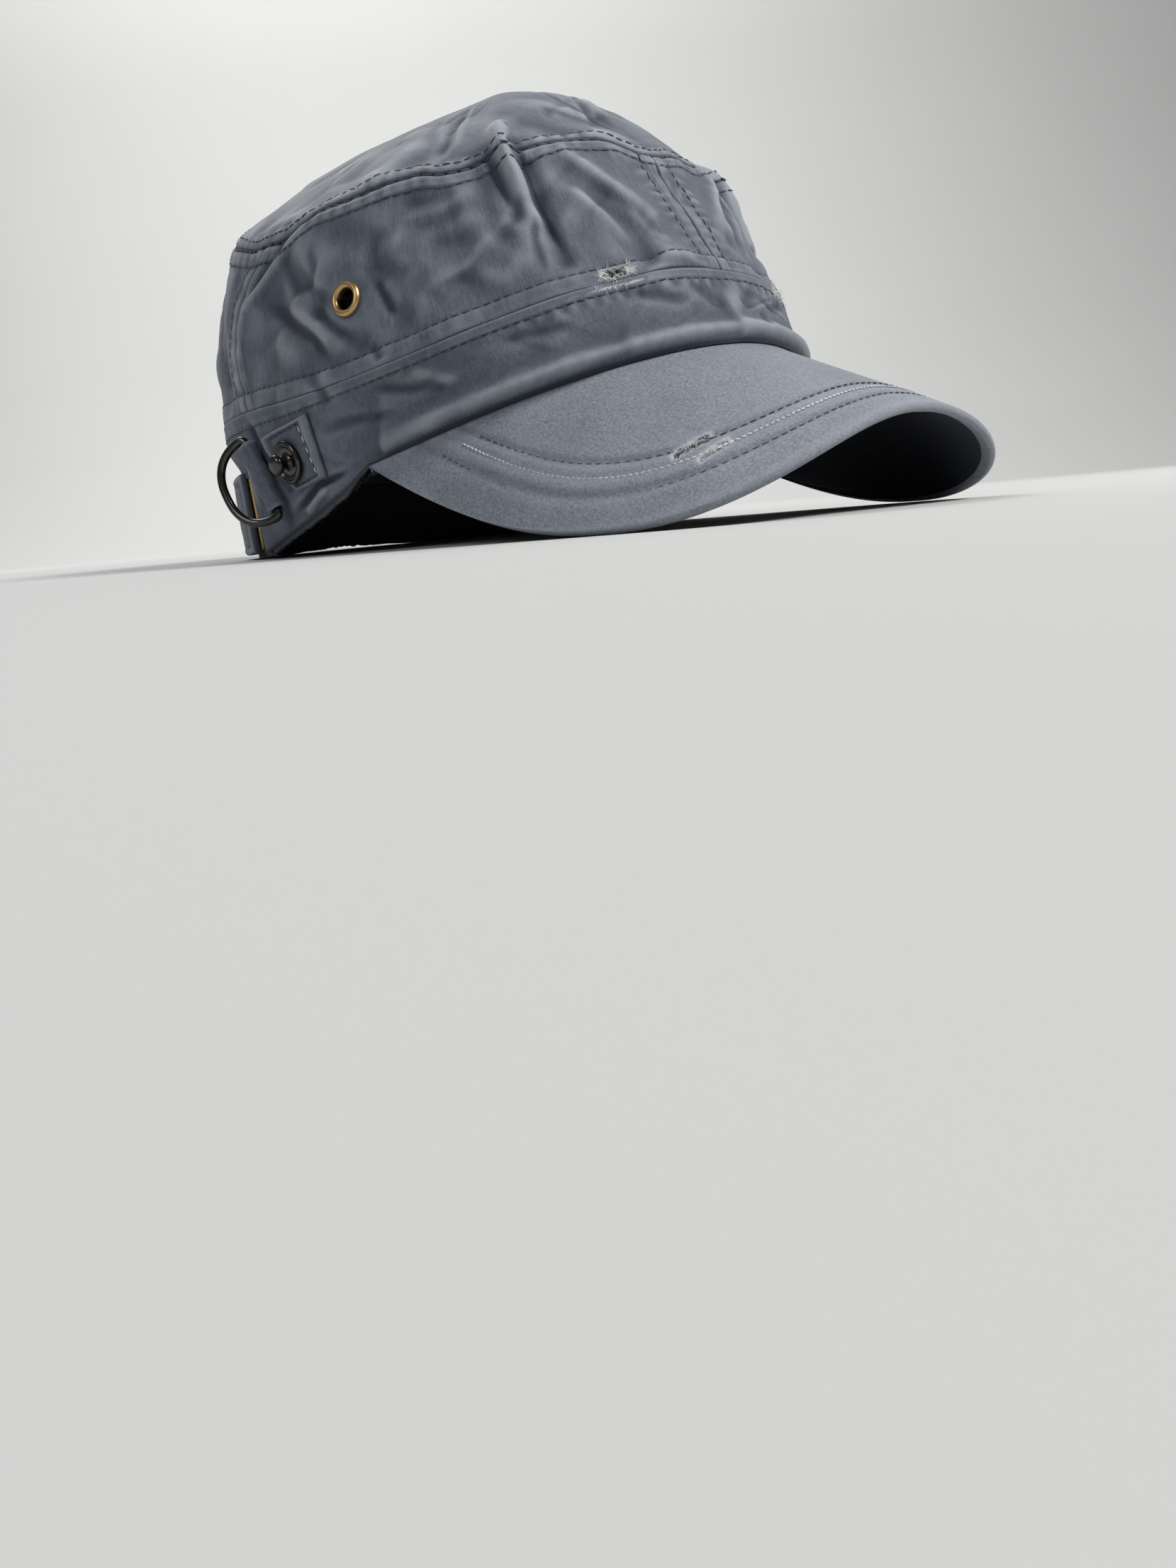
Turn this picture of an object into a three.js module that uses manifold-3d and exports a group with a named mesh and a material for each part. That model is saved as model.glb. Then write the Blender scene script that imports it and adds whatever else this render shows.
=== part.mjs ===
import * as THREE from "three";
import { mergeVertices } from "three/addons/utils/BufferGeometryUtils.js";
import Module from "manifold-3d";

// A worn cotton military cap. Millimetres, +Z up, the peak points along -Y,
// the cap rests on z = 0 on the peak's two low points and the rear hem.
// An angle is measured round the cap from the front, positive towards +X.
// A level runs up the cloth: 0 hem, 1 band line, 2 top seam, 3 middle of the top.

const wasm = await Module();
wasm.setup();

// Shared sizes
const gap = 0.3;
const crownWall = 1.4;
const bandWall = 1.8;
const sweatWall = 1.2;
const boxCentreY = -22.5; // middle of the whole cap, in front of the crown's middle
const mmPerDegree = 1.4; // spacing used where a fold's width is measured on the cloth
const mmPerLevel = 48;

// Level rings in plan, as half sizes; a higher squareness is a boxier oval
const rings = {
  hem: { front: 103.8, back: 108, side: 76.2, squareness: 2.1, centreY: 0 },
  line: { front: 94, back: 96.5, side: 81.6, squareness: 2.1, centreY: 0 },
  mid: { front: 82.6, back: 92, side: 77.6, squareness: 2.2, centreY: 2 },
  seam: { front: 61.4, back: 86.4, side: 72, squareness: 2.2, centreY: -6.5 },
};
const lineHeight = { front: 63.8, side: 42.1, back: 40.3 };
const seamHeight = { mean: 96, risePerMm: 0.04, sway: 7.5 };
const midShare = 0.52; // height of the middle ring between the band line and the seam
const top = { rise: 39, roundness: 1.52, softness: 0.43, forward: 7.5 };

// Peak: an arched plate that slopes down to the front
const peak = {
  cornerAngle: 74.6,
  rootHeight: 43.8,
  slope: Math.tan(THREE.MathUtils.degToRad(24)),
  archRadius: 76.9,
  reach: 48.3,
  halfWidth: 72.6,
  squareness: 3.7,
  topLift: 1.2,
  wall: 2.4,
  rootFlange: 1.5,
  seat: 0.7,
};

// The hem falls from the peak's corner to the table, and lifts a little at the back
const hemFall = { tableAngle: 118, power: 1.7, liftAngle: 152, lift: 2.1 };
const bandRoll = { level: 0.16, width: 0.16, height: 1.8, endAngle: 78 };

// Folds on the wearer's right, repeated on the left: each runs from A to B
const folds = [
  { angleA: -34.5, levelA: 2.1, angleB: -31.5, levelB: 1.5, width: 3.4, height: 2.6 },
  { angleA: -28.5, levelA: 1.85, angleB: -29, levelB: 1.2, width: 2.6, height: -1.7 },
  { angleA: -40, levelA: 1.9, angleB: -37, levelB: 1.45, width: 4, height: -1.1 },
  { angleA: -91, levelA: 1.57, angleB: -75, levelB: 1.11, width: 4.5, height: -1.5 },
  { angleA: -75.5, levelA: 1.42, angleB: -68.5, levelB: 1.17, width: 3.5, height: -1.1 },
  { angleA: -64, levelA: 1.5, angleB: -59, levelB: 1.2, width: 4, height: -1.1 },
  { angleA: -84, levelA: 1.8, angleB: -68, levelB: 1.6, width: 6, height: 1.2 },
  { angleA: -54, levelA: 1.85, angleB: -46, levelB: 1.4, width: 6, height: -1.3 },
  { angleA: -18.5, levelA: 1.84, angleB: -9.5, levelB: 1.38, width: 4, height: 1.4 },
  { angleA: -17, levelA: 1.6, angleB: -14.5, levelB: 1.12, width: 4, height: -1.2 },
  { angleA: -122, levelA: 1.75, angleB: -110, levelB: 1.15, width: 6, height: -1.6 },
  { angleA: -150, levelA: 1.5, angleB: -132, levelB: 1.2, width: 8, height: -1.5 },
];

// Seam between a side panel and the back panel, by level
const backSeam = [
  { level: 1, angle: 99.5 },
  { level: 1.6, angle: 103 },
  { level: 2, angle: 94 },
];

const tab = { frontAngle: -82.6, low: 0.21, high: 0.84, wall: 1.6 };
const ring = {
  angle: -96.2, level: 0.485, stand: 3.5, lean: 0.44, swing: 0.647,
  halfBar: 12.2, depth: 12.8, wireRadius: 1.2,
};
const loop = { halfAcross: 3.3, halfDeep: 2.6, wall: 1, length: 20.4, foldStart: 5.2 };
const stud = { angle: -89, level: 0.5, discRadius: 6, knobRadius: 2.8, height: 5.6 };
const eyelet = { angle: -70, level: 1.42, holeRadius: 2.7, tubeRadius: 3.2, rimRadius: 4.6 };
const strap = {
  nearAngle: 111.5, low: 0.035, high: 0.62, wall: 1.6, stand: 0.8, overSlide: 2.4,
  bulge: 3.4, bulgeAngle: 127, bulgeWidth: 9, roomStart: 105, roomTop: 0.66,
};
const slide = { angle: -113, height: 22.5, width: 9, bar: 2, wall: 1.2, level: 0.33 };

const cloth = new THREE.MeshStandardMaterial({ color: 0x59616f, roughness: 0.92 });
const peakCloth = new THREE.MeshStandardMaterial({ color: 0x646d7e, roughness: 0.85 });
const sweatCloth = new THREE.MeshStandardMaterial({ color: 0x3c4048, roughness: 0.95 });
const gunmetal = new THREE.MeshStandardMaterial({ color: 0x3a3a3c, roughness: 0.3, metalness: 1 });
const brass = new THREE.MeshStandardMaterial({ color: 0x9a7a45, roughness: 0.4, metalness: 1 });

const radians = THREE.MathUtils.degToRad;
const clamp = THREE.MathUtils.clamp;
const smooth = (x) => {
  const u = clamp(x, 0, 1);
  return u * u * (3 - 2 * u);
};
const bell = (x, width) => Math.exp(-((x / width) ** 2));
const signedPower = (x, power) => Math.sign(x) * Math.abs(x) ** power;
// An angle wrapped to lie within half a turn of the front
const wrapped = (angle) => ((((angle + 180) % 360) + 360) % 360) - 180;

// Point of a level ring in plan
function ringPoint(shape, angle) {
  const c = Math.cos(radians(angle));
  const s = Math.sin(radians(angle));
  const reach = c > 0 ? shape.front : shape.back;
  const power = 2 / shape.squareness;
  return new THREE.Vector2(
    shape.side * signedPower(s, power),
    shape.centreY - reach * signedPower(c, power),
  );
}

// Height of the peak's surface over a point of the plan
function peakHeight(x, y) {
  const across = Math.min(Math.abs(x), peak.archRadius * 0.98);
  const drop = peak.archRadius - Math.sqrt(peak.archRadius ** 2 - across ** 2);
  return peak.rootHeight - peak.slope * (-rings.hem.front - y) - drop;
}

function peakNormal(x) {
  const across = clamp(x, -peak.archRadius * 0.98, peak.archRadius * 0.98);
  const fall = across / Math.sqrt(peak.archRadius ** 2 - across ** 2);
  return new THREE.Vector3(fall, -peak.slope, 1).normalize();
}

// Height of the seam line where cloth and peak meet, and of the free hem behind it
function hemHeight(angle) {
  const turn = Math.abs(wrapped(angle));
  if (turn <= peak.cornerAngle) {
    const p = ringPoint(rings.hem, turn);
    return peakHeight(p.x, p.y);
  }
  const corner = ringPoint(rings.hem, peak.cornerAngle);
  const u = clamp((turn - peak.cornerAngle) / (hemFall.tableAngle - peak.cornerAngle), 0, 1);
  const w = (turn - hemFall.liftAngle) / (180 - hemFall.liftAngle);
  return peakHeight(corner.x, corner.y) * (1 - u) ** hemFall.power + hemFall.lift * smooth(w);
}

function hemPoint(angle) {
  const p = ringPoint(rings.hem, angle);
  const onPeak = smooth((peak.cornerAngle + 6 - Math.abs(wrapped(angle))) / 6);
  return new THREE.Vector3(p.x, p.y, hemHeight(angle) + peak.seat * onPeak);
}

function linePoint(angle) {
  const p = ringPoint(rings.line, angle);
  const c = Math.cos(radians(angle));
  const end = c > 0 ? lineHeight.front : lineHeight.back;
  return new THREE.Vector3(p.x, p.y, lineHeight.side + (end - lineHeight.side) * c * c);
}

function seamPoint(angle) {
  const p = ringPoint(rings.seam, angle);
  const tilt = seamHeight.risePerMm * (p.y - rings.seam.centreY);
  const sway = seamHeight.sway * Math.cos(2 * radians(angle));
  return new THREE.Vector3(p.x, p.y, seamHeight.mean + tilt + sway);
}

function midPoint(angle) {
  const p = ringPoint(rings.mid, angle);
  const z = THREE.MathUtils.lerp(linePoint(angle).z, seamPoint(angle).z, midShare);
  return new THREE.Vector3(p.x, p.y, z);
}

// The smooth outer surface without its folds
function bareSurface(angle, level) {
  if (level < 1) return hemPoint(angle).lerp(linePoint(angle), level);
  if (level < 2) {
    const u = level - 1;
    return linePoint(angle)
      .multiplyScalar((2 * u - 1) * (u - 1))
      .addScaledVector(midPoint(angle), 4 * u * (1 - u))
      .addScaledVector(seamPoint(angle), u * (2 * u - 1));
  }
  const radius = clamp(3 - level, 0, 1);
  const rim = seamPoint(angle);
  const soft = (r) => (r * r + top.softness ** 2) ** (top.roundness / 2);
  const rise = (soft(1) - soft(radius)) / soft(1);
  return new THREE.Vector3(
    rim.x * radius,
    rings.seam.centreY + (rim.y - rings.seam.centreY) * radius - top.forward * (1 - radius ** 2),
    rim.z * (1 - rise) + (seamHeight.mean + top.rise) * rise,
  );
}

// Outward direction, averaged over a short stretch so that it turns softly at the seams
function outward(angle, level) {
  const reach = 0.05;
  const l = clamp(level, reach, 2.9);
  const round = bareSurface(angle + 1, l).sub(bareSurface(angle - 1, l));
  const up = bareSurface(angle, l + reach).sub(bareSurface(angle, l - reach));
  const direction = round.cross(up).normalize();
  return direction.lerp(new THREE.Vector3(0, 0, 1), smooth((level - 2.7) / 0.3)).normalize();
}

function foldHeight(angle, level) {
  const side = -Math.abs(wrapped(angle));
  const here = new THREE.Vector2(side * mmPerDegree, level * mmPerLevel);
  let height = 0;
  for (const fold of folds) {
    const a = new THREE.Vector2(fold.angleA * mmPerDegree, fold.levelA * mmPerLevel);
    const b = new THREE.Vector2(fold.angleB * mmPerDegree, fold.levelB * mmPerLevel);
    const along = clamp(
      here.clone().sub(a).dot(b.clone().sub(a)) / a.distanceToSquared(b), 0, 1,
    );
    height += fold.height * bell(here.distanceTo(a.lerp(b, along)), fold.width);
  }
  const eye = new THREE.Vector2(eyelet.angle * mmPerDegree, eyelet.level * mmPerLevel);
  const calm = 1 - bell(Math.max(here.distanceTo(eye) - eyelet.rimRadius, 0), 5);
  return height * calm * (1 - smooth((level - 2.6) / 0.3));
}

function rollHeight(angle, level) {
  const turn = Math.abs(wrapped(angle));
  const inFront = smooth((bandRoll.endAngle - turn) / 20);
  return bandRoll.height * inFront * bell(level - bandRoll.level, bandRoll.width);
}

// A point of the outer surface, moved out by a distance
function surface(angle, level, out = 0) {
  const bulge = foldHeight(angle, level) + rollHeight(angle, level);
  return bareSurface(angle, level).addScaledVector(outward(angle, level), bulge + out);
}

// Space between the band and the rear strap's inner face: wider over the slide, and
// at the strap's lower edge beside it, where the strap stands open
function strapStand(angle, level) {
  const turn = wrapped(angle);
  const onSlide = smooth((132 - Math.abs(turn)) / 8) * (turn < 0 ? 1 : 0);
  const low = clamp(1 - (level - strap.low) / (strap.high - strap.low), 0, 1);
  const bulge = strap.bulge * low * bell(turn + strap.bulgeAngle, strap.bulgeWidth);
  return THREE.MathUtils.lerp(strap.stand, strap.overSlide, onSlide) + bulge;
}

// The band lies deeper under the strap, so that the strap is the outline at the back
function bandSurface(angle, level, out = 0) {
  const inside = smooth((Math.abs(wrapped(angle)) - strap.roomStart) / 6);
  const below = 1 - smooth((level - strap.roomTop) / 0.16);
  const room = inside * below * (strap.wall + strapStand(angle, level));
  return surface(angle, level, out - room);
}

// Position and directions on the surface: out of the cloth, up it and round it
function placeOn(angle, level, out) {
  const normal = outward(angle, level);
  const up = bareSurface(angle, level + 0.02).sub(bareSurface(angle, level - 0.02)).normalize();
  const round = new THREE.Vector3().crossVectors(up, normal).normalize();
  return { at: surface(angle, level, out), normal, up, round };
}

function fromTriangles(corners) {
  const flat = corners.flatMap((p) => [p.x, p.y, p.z]);
  return new THREE.BufferGeometry().setAttribute(
    "position", new THREE.Float32BufferAttribute(flat, 3),
  );
}

// Closed wall between two grids of points [round][up]; a whole ring has wrap set,
// and a grid that ends in one point has apex set
function wallBetween(outer, inner, { wrap = false, apex = false } = {}) {
  const corners = [];
  const far = (p, q) => p.distanceToSquared(q) > 1e-8;
  const triangle = (a, b, c) => {
    if (far(a, b) && far(b, c) && far(c, a)) corners.push(a, b, c);
  };
  const quad = (a, b, c, d) => {
    triangle(a, b, c);
    triangle(a, c, d);
  };
  const columns = outer.length;
  const last = outer[0].length - 1;
  for (let i = 0; i < (wrap ? columns : columns - 1); i++) {
    const k = (i + 1) % columns;
    for (let j = 0; j < last; j++) {
      quad(outer[i][j], outer[k][j], outer[k][j + 1], outer[i][j + 1]);
      quad(inner[k][j], inner[i][j], inner[i][j + 1], inner[k][j + 1]);
    }
    quad(inner[i][0], inner[k][0], outer[k][0], outer[i][0]);
    if (!apex) quad(outer[i][last], outer[k][last], inner[k][last], inner[i][last]);
  }
  if (!wrap) {
    const end = columns - 1;
    for (let j = 0; j < last; j++) {
      quad(inner[0][j], outer[0][j], outer[0][j + 1], inner[0][j + 1]);
      quad(outer[end][j], inner[end][j], inner[end][j + 1], outer[end][j + 1]);
    }
  }
  return fromTriangles(corners);
}

const grid = (columns, rows, point) => columns.map((c) => rows.map((r) => point(c, r)));
const steps = (from, to, count) =>
  Array.from({ length: count + 1 }, (_, i) => from + ((to - from) * i) / count);

// Cloth between two angle limits, each a function of the level
function clothPanel(shares, levels, startAngle, endAngle, thickness) {
  const angleAt = (share, level) =>
    THREE.MathUtils.lerp(startAngle(level), endAngle(level), share);
  return wallBetween(
    grid(shares, levels, (share, level) => surface(angleAt(share, level), level)),
    grid(shares, levels, (share, level) => surface(angleAt(share, level), level, -thickness)),
  );
}

function mirrored(geometry) {
  const flat = geometry.index ? geometry.toNonIndexed() : geometry.clone();
  const p = flat.getAttribute("position").array;
  const corner = (i) => new THREE.Vector3(-p[i], p[i + 1], p[i + 2]);
  const corners = [];
  for (let i = 0; i < p.length; i += 9) corners.push(corner(i), corner(i + 6), corner(i + 3));
  return fromTriangles(corners);
}

function toSolid(geometry) {
  const bare = geometry.clone();
  bare.deleteAttribute("normal");
  bare.deleteAttribute("uv");
  const merged = mergeVertices(bare, 1e-4);
  return new wasm.Manifold(new wasm.Mesh({
    numProp: 3,
    vertProperties: merged.attributes.position.array,
    triVerts: new Uint32Array(merged.index.array),
  }));
}

function toGeometry(solid) {
  const mesh = solid.getMesh();
  const positions = new Float32Array(mesh.vertProperties);
  return new THREE.BufferGeometry()
    .setAttribute("position", new THREE.BufferAttribute(positions, 3))
    .setIndex(new THREE.BufferAttribute(new Uint32Array(mesh.triVerts), 1));
}

function turned(geometry, place, axisX, axisY, axisZ) {
  const matrix = new THREE.Matrix4().makeBasis(axisX, axisY, axisZ).setPosition(place);
  return geometry.clone().applyMatrix4(matrix);
}

// A turned piece whose axis stands out of the cloth
function latheOn(profile, segments, place) {
  const geometry = new THREE.LatheGeometry(
    profile.map(([radius, height]) => new THREE.Vector2(radius, height)), segments,
  );
  return turned(geometry, place.at, place.up, place.normal, place.round);
}

const seamGapLevel = gap / mmPerLevel / 2;
const bandAngles = steps(-180, 180, 84).slice(0, -1);
const lowerLevels = [0, 0.08, 0.17, 0.3, 0.6, 1 - seamGapLevel];
const panelLevels = [1 + seamGapLevel, 1.12, 1.25, 1.38, 1.5, 1.62, 1.75, 1.87, 2 - seamGapLevel];

function backSeamAngle(level) {
  const upper = level > backSeam[1].level ? 1 : 0;
  const from = backSeam[upper];
  const to = backSeam[upper + 1];
  const share = clamp((level - from.level) / (to.level - from.level), 0, 1);
  return THREE.MathUtils.lerp(from.angle, to.angle, share);
}

function crownTop() {
  const angles = steps(-180, 180, 50).slice(0, -1);
  const levels = [2 + seamGapLevel, 2.12, 2.3, 2.5, 2.72, 3];
  const apex = surface(0, 3);
  const innerApex = apex.clone().add(new THREE.Vector3(0, 0, -crownWall));
  return wallBetween(
    grid(angles, levels, (a, l) => (l === 3 ? apex : surface(a, l))),
    grid(angles, levels, (a, l) => (l === 3 ? innerApex : surface(a, l, -crownWall))),
    { wrap: true, apex: true },
  );
}

// The tuck near the front needs closer columns than the rest of the side panel
function sidePanelRight() {
  const halfGap = gap / mmPerDegree / 2;
  const wide = backSeamAngle(1.5);
  const angles = [
    ...steps(-wide, -44, 12), -40.5, -38, -36, -34.5, -33, -31.5, -30, -28.5, -27, -24.5,
    ...steps(-21, -3.5, 5), 0,
  ];
  const panel = clothPanel(
    angles.map((a) => (a + wide) / wide), panelLevels,
    (level) => -backSeamAngle(level) + halfGap, () => -halfGap, crownWall,
  );
  const place = placeOn(eyelet.angle, eyelet.level, 0);
  const drill = turned(
    new THREE.CylinderGeometry(eyelet.tubeRadius + gap, eyelet.tubeRadius + gap, 12, 20),
    place.at, place.up, place.normal, place.round,
  );
  return toGeometry(toSolid(panel).subtract(toSolid(drill)));
}

function backPanel() {
  const halfGap = gap / mmPerDegree / 2;
  return clothPanel(
    steps(0, 1, 22), panelLevels,
    (level) => backSeamAngle(level) + halfGap,
    (level) => 360 - backSeamAngle(level) - halfGap, crownWall,
  );
}

// The lower edge of the band is level across its thickness, so it stands flat
function band() {
  const outer = grid(bandAngles, lowerLevels, (a, l) => bandSurface(a, l));
  const inner = grid(bandAngles, lowerLevels, (a, l) => bandSurface(a, l, -bandWall));
  bandAngles.forEach((a, i) => {
    outer[i][0].z = hemPoint(a).z;
    inner[i][0].z = hemPoint(a).z;
  });
  return wallBetween(outer, inner, { wrap: true });
}

// Inner band: it shows as a thin edge below the hem between the peak and the back
function sweatband() {
  const out = -(bandWall + gap + 0.1);
  const lowest = (a) => {
    const turn = Math.abs(wrapped(a));
    const overPeak = smooth((peak.cornerAngle + 8 - turn) / 6);
    return Math.max(hemHeight(a) + THREE.MathUtils.lerp(-1, 1, overPeak), 0.6);
  };
  const point = (a, l, depth) => {
    const p = bandSurface(a, l, depth - rollHeight(a, l));
    if (l === 0) p.z = lowest(a);
    return p;
  };
  const levels = [0, 0.3, 0.6];
  return wallBetween(
    grid(bandAngles, levels, (a, l) => point(a, l, out)),
    grid(bandAngles, levels, (a, l) => point(a, l, out - sweatWall)),
    { wrap: true },
  );
}

// The peak's outer edge in plan, from one corner at -1 round the front to the other at 1
function peakEdge(share) {
  const corner = ringPoint(rings.hem, peak.cornerAngle);
  const turn = radians(90 * share);
  const forward = Math.cos(turn) ** (2 / peak.squareness);
  const widen = clamp(2.2 * Math.cos(turn), 0, 1);
  const half = THREE.MathUtils.lerp(corner.x, peak.halfWidth, widen);
  const depth = rings.hem.front + peak.reach + corner.y;
  return new THREE.Vector2(
    half * signedPower(Math.sin(turn), 2 / peak.squareness), corner.y - depth * forward,
  );
}

function peakPlate() {
  const shares = steps(-1, 1, 44);
  const rows = [-1, 0, 0.25, 0.5, 0.72, 0.88, 1];
  const point = (share, row, thickness) => {
    const root = ringPoint(rings.hem, share * peak.cornerAngle);
    if (row < 0) {
      const inset = 1 - peak.rootFlange / root.length();
      const z = hemHeight(share * peak.cornerAngle) - thickness;
      return new THREE.Vector3(root.x * inset, root.y * inset, z);
    }
    const plan = root.lerp(peakEdge(share), row);
    const lift = peak.topLift * row - thickness;
    const p = new THREE.Vector3(plan.x, plan.y, peakHeight(plan.x, plan.y));
    p.addScaledVector(peakNormal(plan.x), lift);
    p.z = Math.max(p.z, 0);
    return p;
  };
  const fromEdge = rows.slice().reverse();
  return wallBetween(
    grid(shares, fromEdge, (share, row) => point(share, row, 0)),
    grid(shares, fromEdge, (share, row) => point(share, row, peak.wall)),
  );
}

// Frame of the ring's straight bar: along the bar, out of the cloth, and across it
function barFrame() {
  const place = placeOn(ring.angle, ring.level, ring.stand);
  const bar = place.up.clone().multiplyScalar(Math.cos(ring.lean))
    .addScaledVector(place.round, -Math.sin(ring.lean));
  const rear = new THREE.Vector3().crossVectors(place.normal, bar).normalize();
  return { at: place.at, bar, rear, normal: place.normal };
}

// Cloth strip sewn flat on the band, whose rear end folds round the ring's bar
function tabRight() {
  const frame = barFrame();
  const patchPoint = (share, row, out) => {
    const along = (row - 0.5) * loop.length;
    const rearAngle = ring.angle + (loop.foldStart - along * Math.sin(ring.lean)) / mmPerDegree;
    const rearLevel = ring.level + (along * Math.cos(ring.lean)) / mmPerLevel;
    const frontLevel = THREE.MathUtils.lerp(tab.low, tab.high, row);
    return surface(
      THREE.MathUtils.lerp(rearAngle, tab.frontAngle, share),
      THREE.MathUtils.lerp(rearLevel, frontLevel, share), out,
    );
  };
  const foldPoint = (turn, row, inset) => frame.at.clone()
    .addScaledVector(frame.bar, (row - 0.5) * loop.length)
    .addScaledVector(frame.rear, (loop.halfAcross - inset) * Math.cos(radians(turn)))
    .addScaledVector(frame.normal, (loop.halfDeep - inset) * Math.sin(radians(turn)));
  const foldTurns = steps(-135, 170, 9);
  const patchShares = steps(0, 1, 4);
  const rows = steps(0, 1, 3);
  const strip = (out, inset) => [
    ...grid(foldTurns, rows, (turn, row) => foldPoint(turn, row, inset)),
    ...grid(patchShares, rows, (share, row) => patchPoint(share, row, out)),
  ];
  return wallBetween(strip(gap + tab.wall, 0), strip(gap, loop.wall));
}

// D-shaped ring: a straight bar closed by a squarish arc, with a round wire
function ringRight() {
  const frame = barFrame();
  const arm = frame.rear.clone().multiplyScalar(Math.cos(ring.swing))
    .addScaledVector(frame.normal, Math.sin(ring.swing));
  const facing = new THREE.Vector3().crossVectors(frame.bar, arm).normalize();
  const power = 0.84;
  const centres = [
    ...steps(0, 180, 22).map((turn) => new THREE.Vector2(
      ring.halfBar * signedPower(Math.cos(radians(turn)), power),
      ring.depth * Math.sin(radians(turn)) ** power,
    )),
    ...steps(-0.9, 0.9, 4).map((share) => new THREE.Vector2(share * ring.halfBar, 0)),
  ];
  const count = centres.length;
  const wire = centres.map((centre, i) => {
    const ahead = centres[(i + 1) % count];
    const behind = centres[(i + count - 1) % count];
    const along = ahead.clone().sub(behind).normalize();
    const side = frame.bar.clone().multiplyScalar(along.y).addScaledVector(arm, -along.x);
    const middle = frame.at.clone().addScaledVector(frame.bar, centre.x)
      .addScaledVector(arm, centre.y);
    return steps(0, 360, 8).slice(0, -1).map((turn) => middle.clone()
      .addScaledVector(side, ring.wireRadius * Math.cos(radians(turn)))
      .addScaledVector(facing, ring.wireRadius * Math.sin(radians(turn))));
  });
  const corners = [];
  wire.forEach((section, i) => {
    const next = wire[(i + 1) % count];
    section.forEach((a, j) => {
      const k = (j + 1) % section.length;
      corners.push(a, next[k], section[k], a, next[j], next[k]);
    });
  });
  return fromTriangles(corners);
}

// Press stud: a disc with a raised rim, a neck and a round knob
function studRight() {
  const { discRadius, knobRadius, height } = stud;
  const profile = [
    [0, 0], [discRadius, 0], [discRadius, 1], [discRadius - 0.6, 1.5], [discRadius - 1.3, 1],
    [1.9, 0.9], [1.7, height - 2.8], [knobRadius, height - 1.9], [knobRadius, height - 0.9],
    [knobRadius - 1, height], [0, height],
  ];
  return latheOn(profile, 18, placeOn(stud.angle, stud.level, tab.wall + 2 * gap));
}

// Two rims and a tube, rolled from one sheet, gripping the edge of the drilled hole
function eyeletRight() {
  const { holeRadius, tubeRadius, rimRadius } = eyelet;
  const inside = -(crownWall + gap);
  const profile = [
    [holeRadius, inside - 0.7], [rimRadius - 0.2, inside - 0.7], [rimRadius - 0.2, inside],
    [tubeRadius, inside], [tubeRadius, gap], [rimRadius, gap], [rimRadius - 0.2, gap + 0.7],
    [(holeRadius + rimRadius) / 2, gap + 1.1], [holeRadius, gap + 0.7],
    [holeRadius, inside - 0.7],
  ];
  return latheOn(profile, 18, placeOn(eyelet.angle, eyelet.level, 0));
}

// Rear strap over the recessed back of the band
function rearStrap() {
  const angles = [
    ...steps(strap.nearAngle, 150, 8), ...steps(160, 200, 4),
    ...steps(210, 360 - strap.nearAngle, 8),
  ];
  const levels = steps(strap.low, strap.high, 3);
  return wallBetween(
    grid(angles, levels, (a, l) => surface(a, l)),
    grid(angles, levels, (a, l) => surface(a, l, -strap.wall)),
  );
}

// Brass slide under the near end of the strap; its front bar shows
function strapSlide() {
  const place = placeOn(slide.angle, slide.level, -(strap.wall + gap + slide.wall));
  const half = { x: slide.width / 2, y: slide.height / 2 };
  const box = (x, y) => [
    new THREE.Vector2(-x, -y), new THREE.Vector2(x, -y),
    new THREE.Vector2(x, y), new THREE.Vector2(-x, y),
  ];
  const shape = new THREE.Shape(box(half.x, half.y));
  shape.holes.push(new THREE.Path(box(half.x - slide.bar, half.y - slide.bar)));
  const frame = new THREE.ExtrudeGeometry(shape, { depth: slide.wall, bevelEnabled: false });
  return turned(frame, place.at, place.round, place.up, place.normal);
}

const cap = new THREE.Group();
cap.position.y = -boxCentreY;

function addPiece(name, geometry, material) {
  const mesh = new THREE.Mesh(geometry, material);
  mesh.name = name;
  cap.add(mesh);
}

function addPair(name, geometry, material) {
  addPiece(name + "_right", geometry, material);
  addPiece(name + "_left", mirrored(geometry), material);
}

addPiece("crown_top", crownTop(), cloth);
addPair("side_panel", sidePanelRight(), cloth);
addPiece("back_panel", backPanel(), cloth);
addPiece("band", band(), cloth);
addPiece("sweatband", sweatband(), sweatCloth);
addPiece("peak", peakPlate(), peakCloth);
addPair("tab", tabRight(), cloth);
addPair("ring", ringRight(), gunmetal);
addPair("stud", studRight(), gunmetal);
addPair("eyelet", eyeletRight(), brass);
addPiece("rear_strap", rearStrap(), cloth);
addPiece("strap_slide", strapSlide(), brass);

export default cap;
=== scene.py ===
import math
import bmesh
import bpy
import numpy as np
from mathutils import Matrix, Vector


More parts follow.
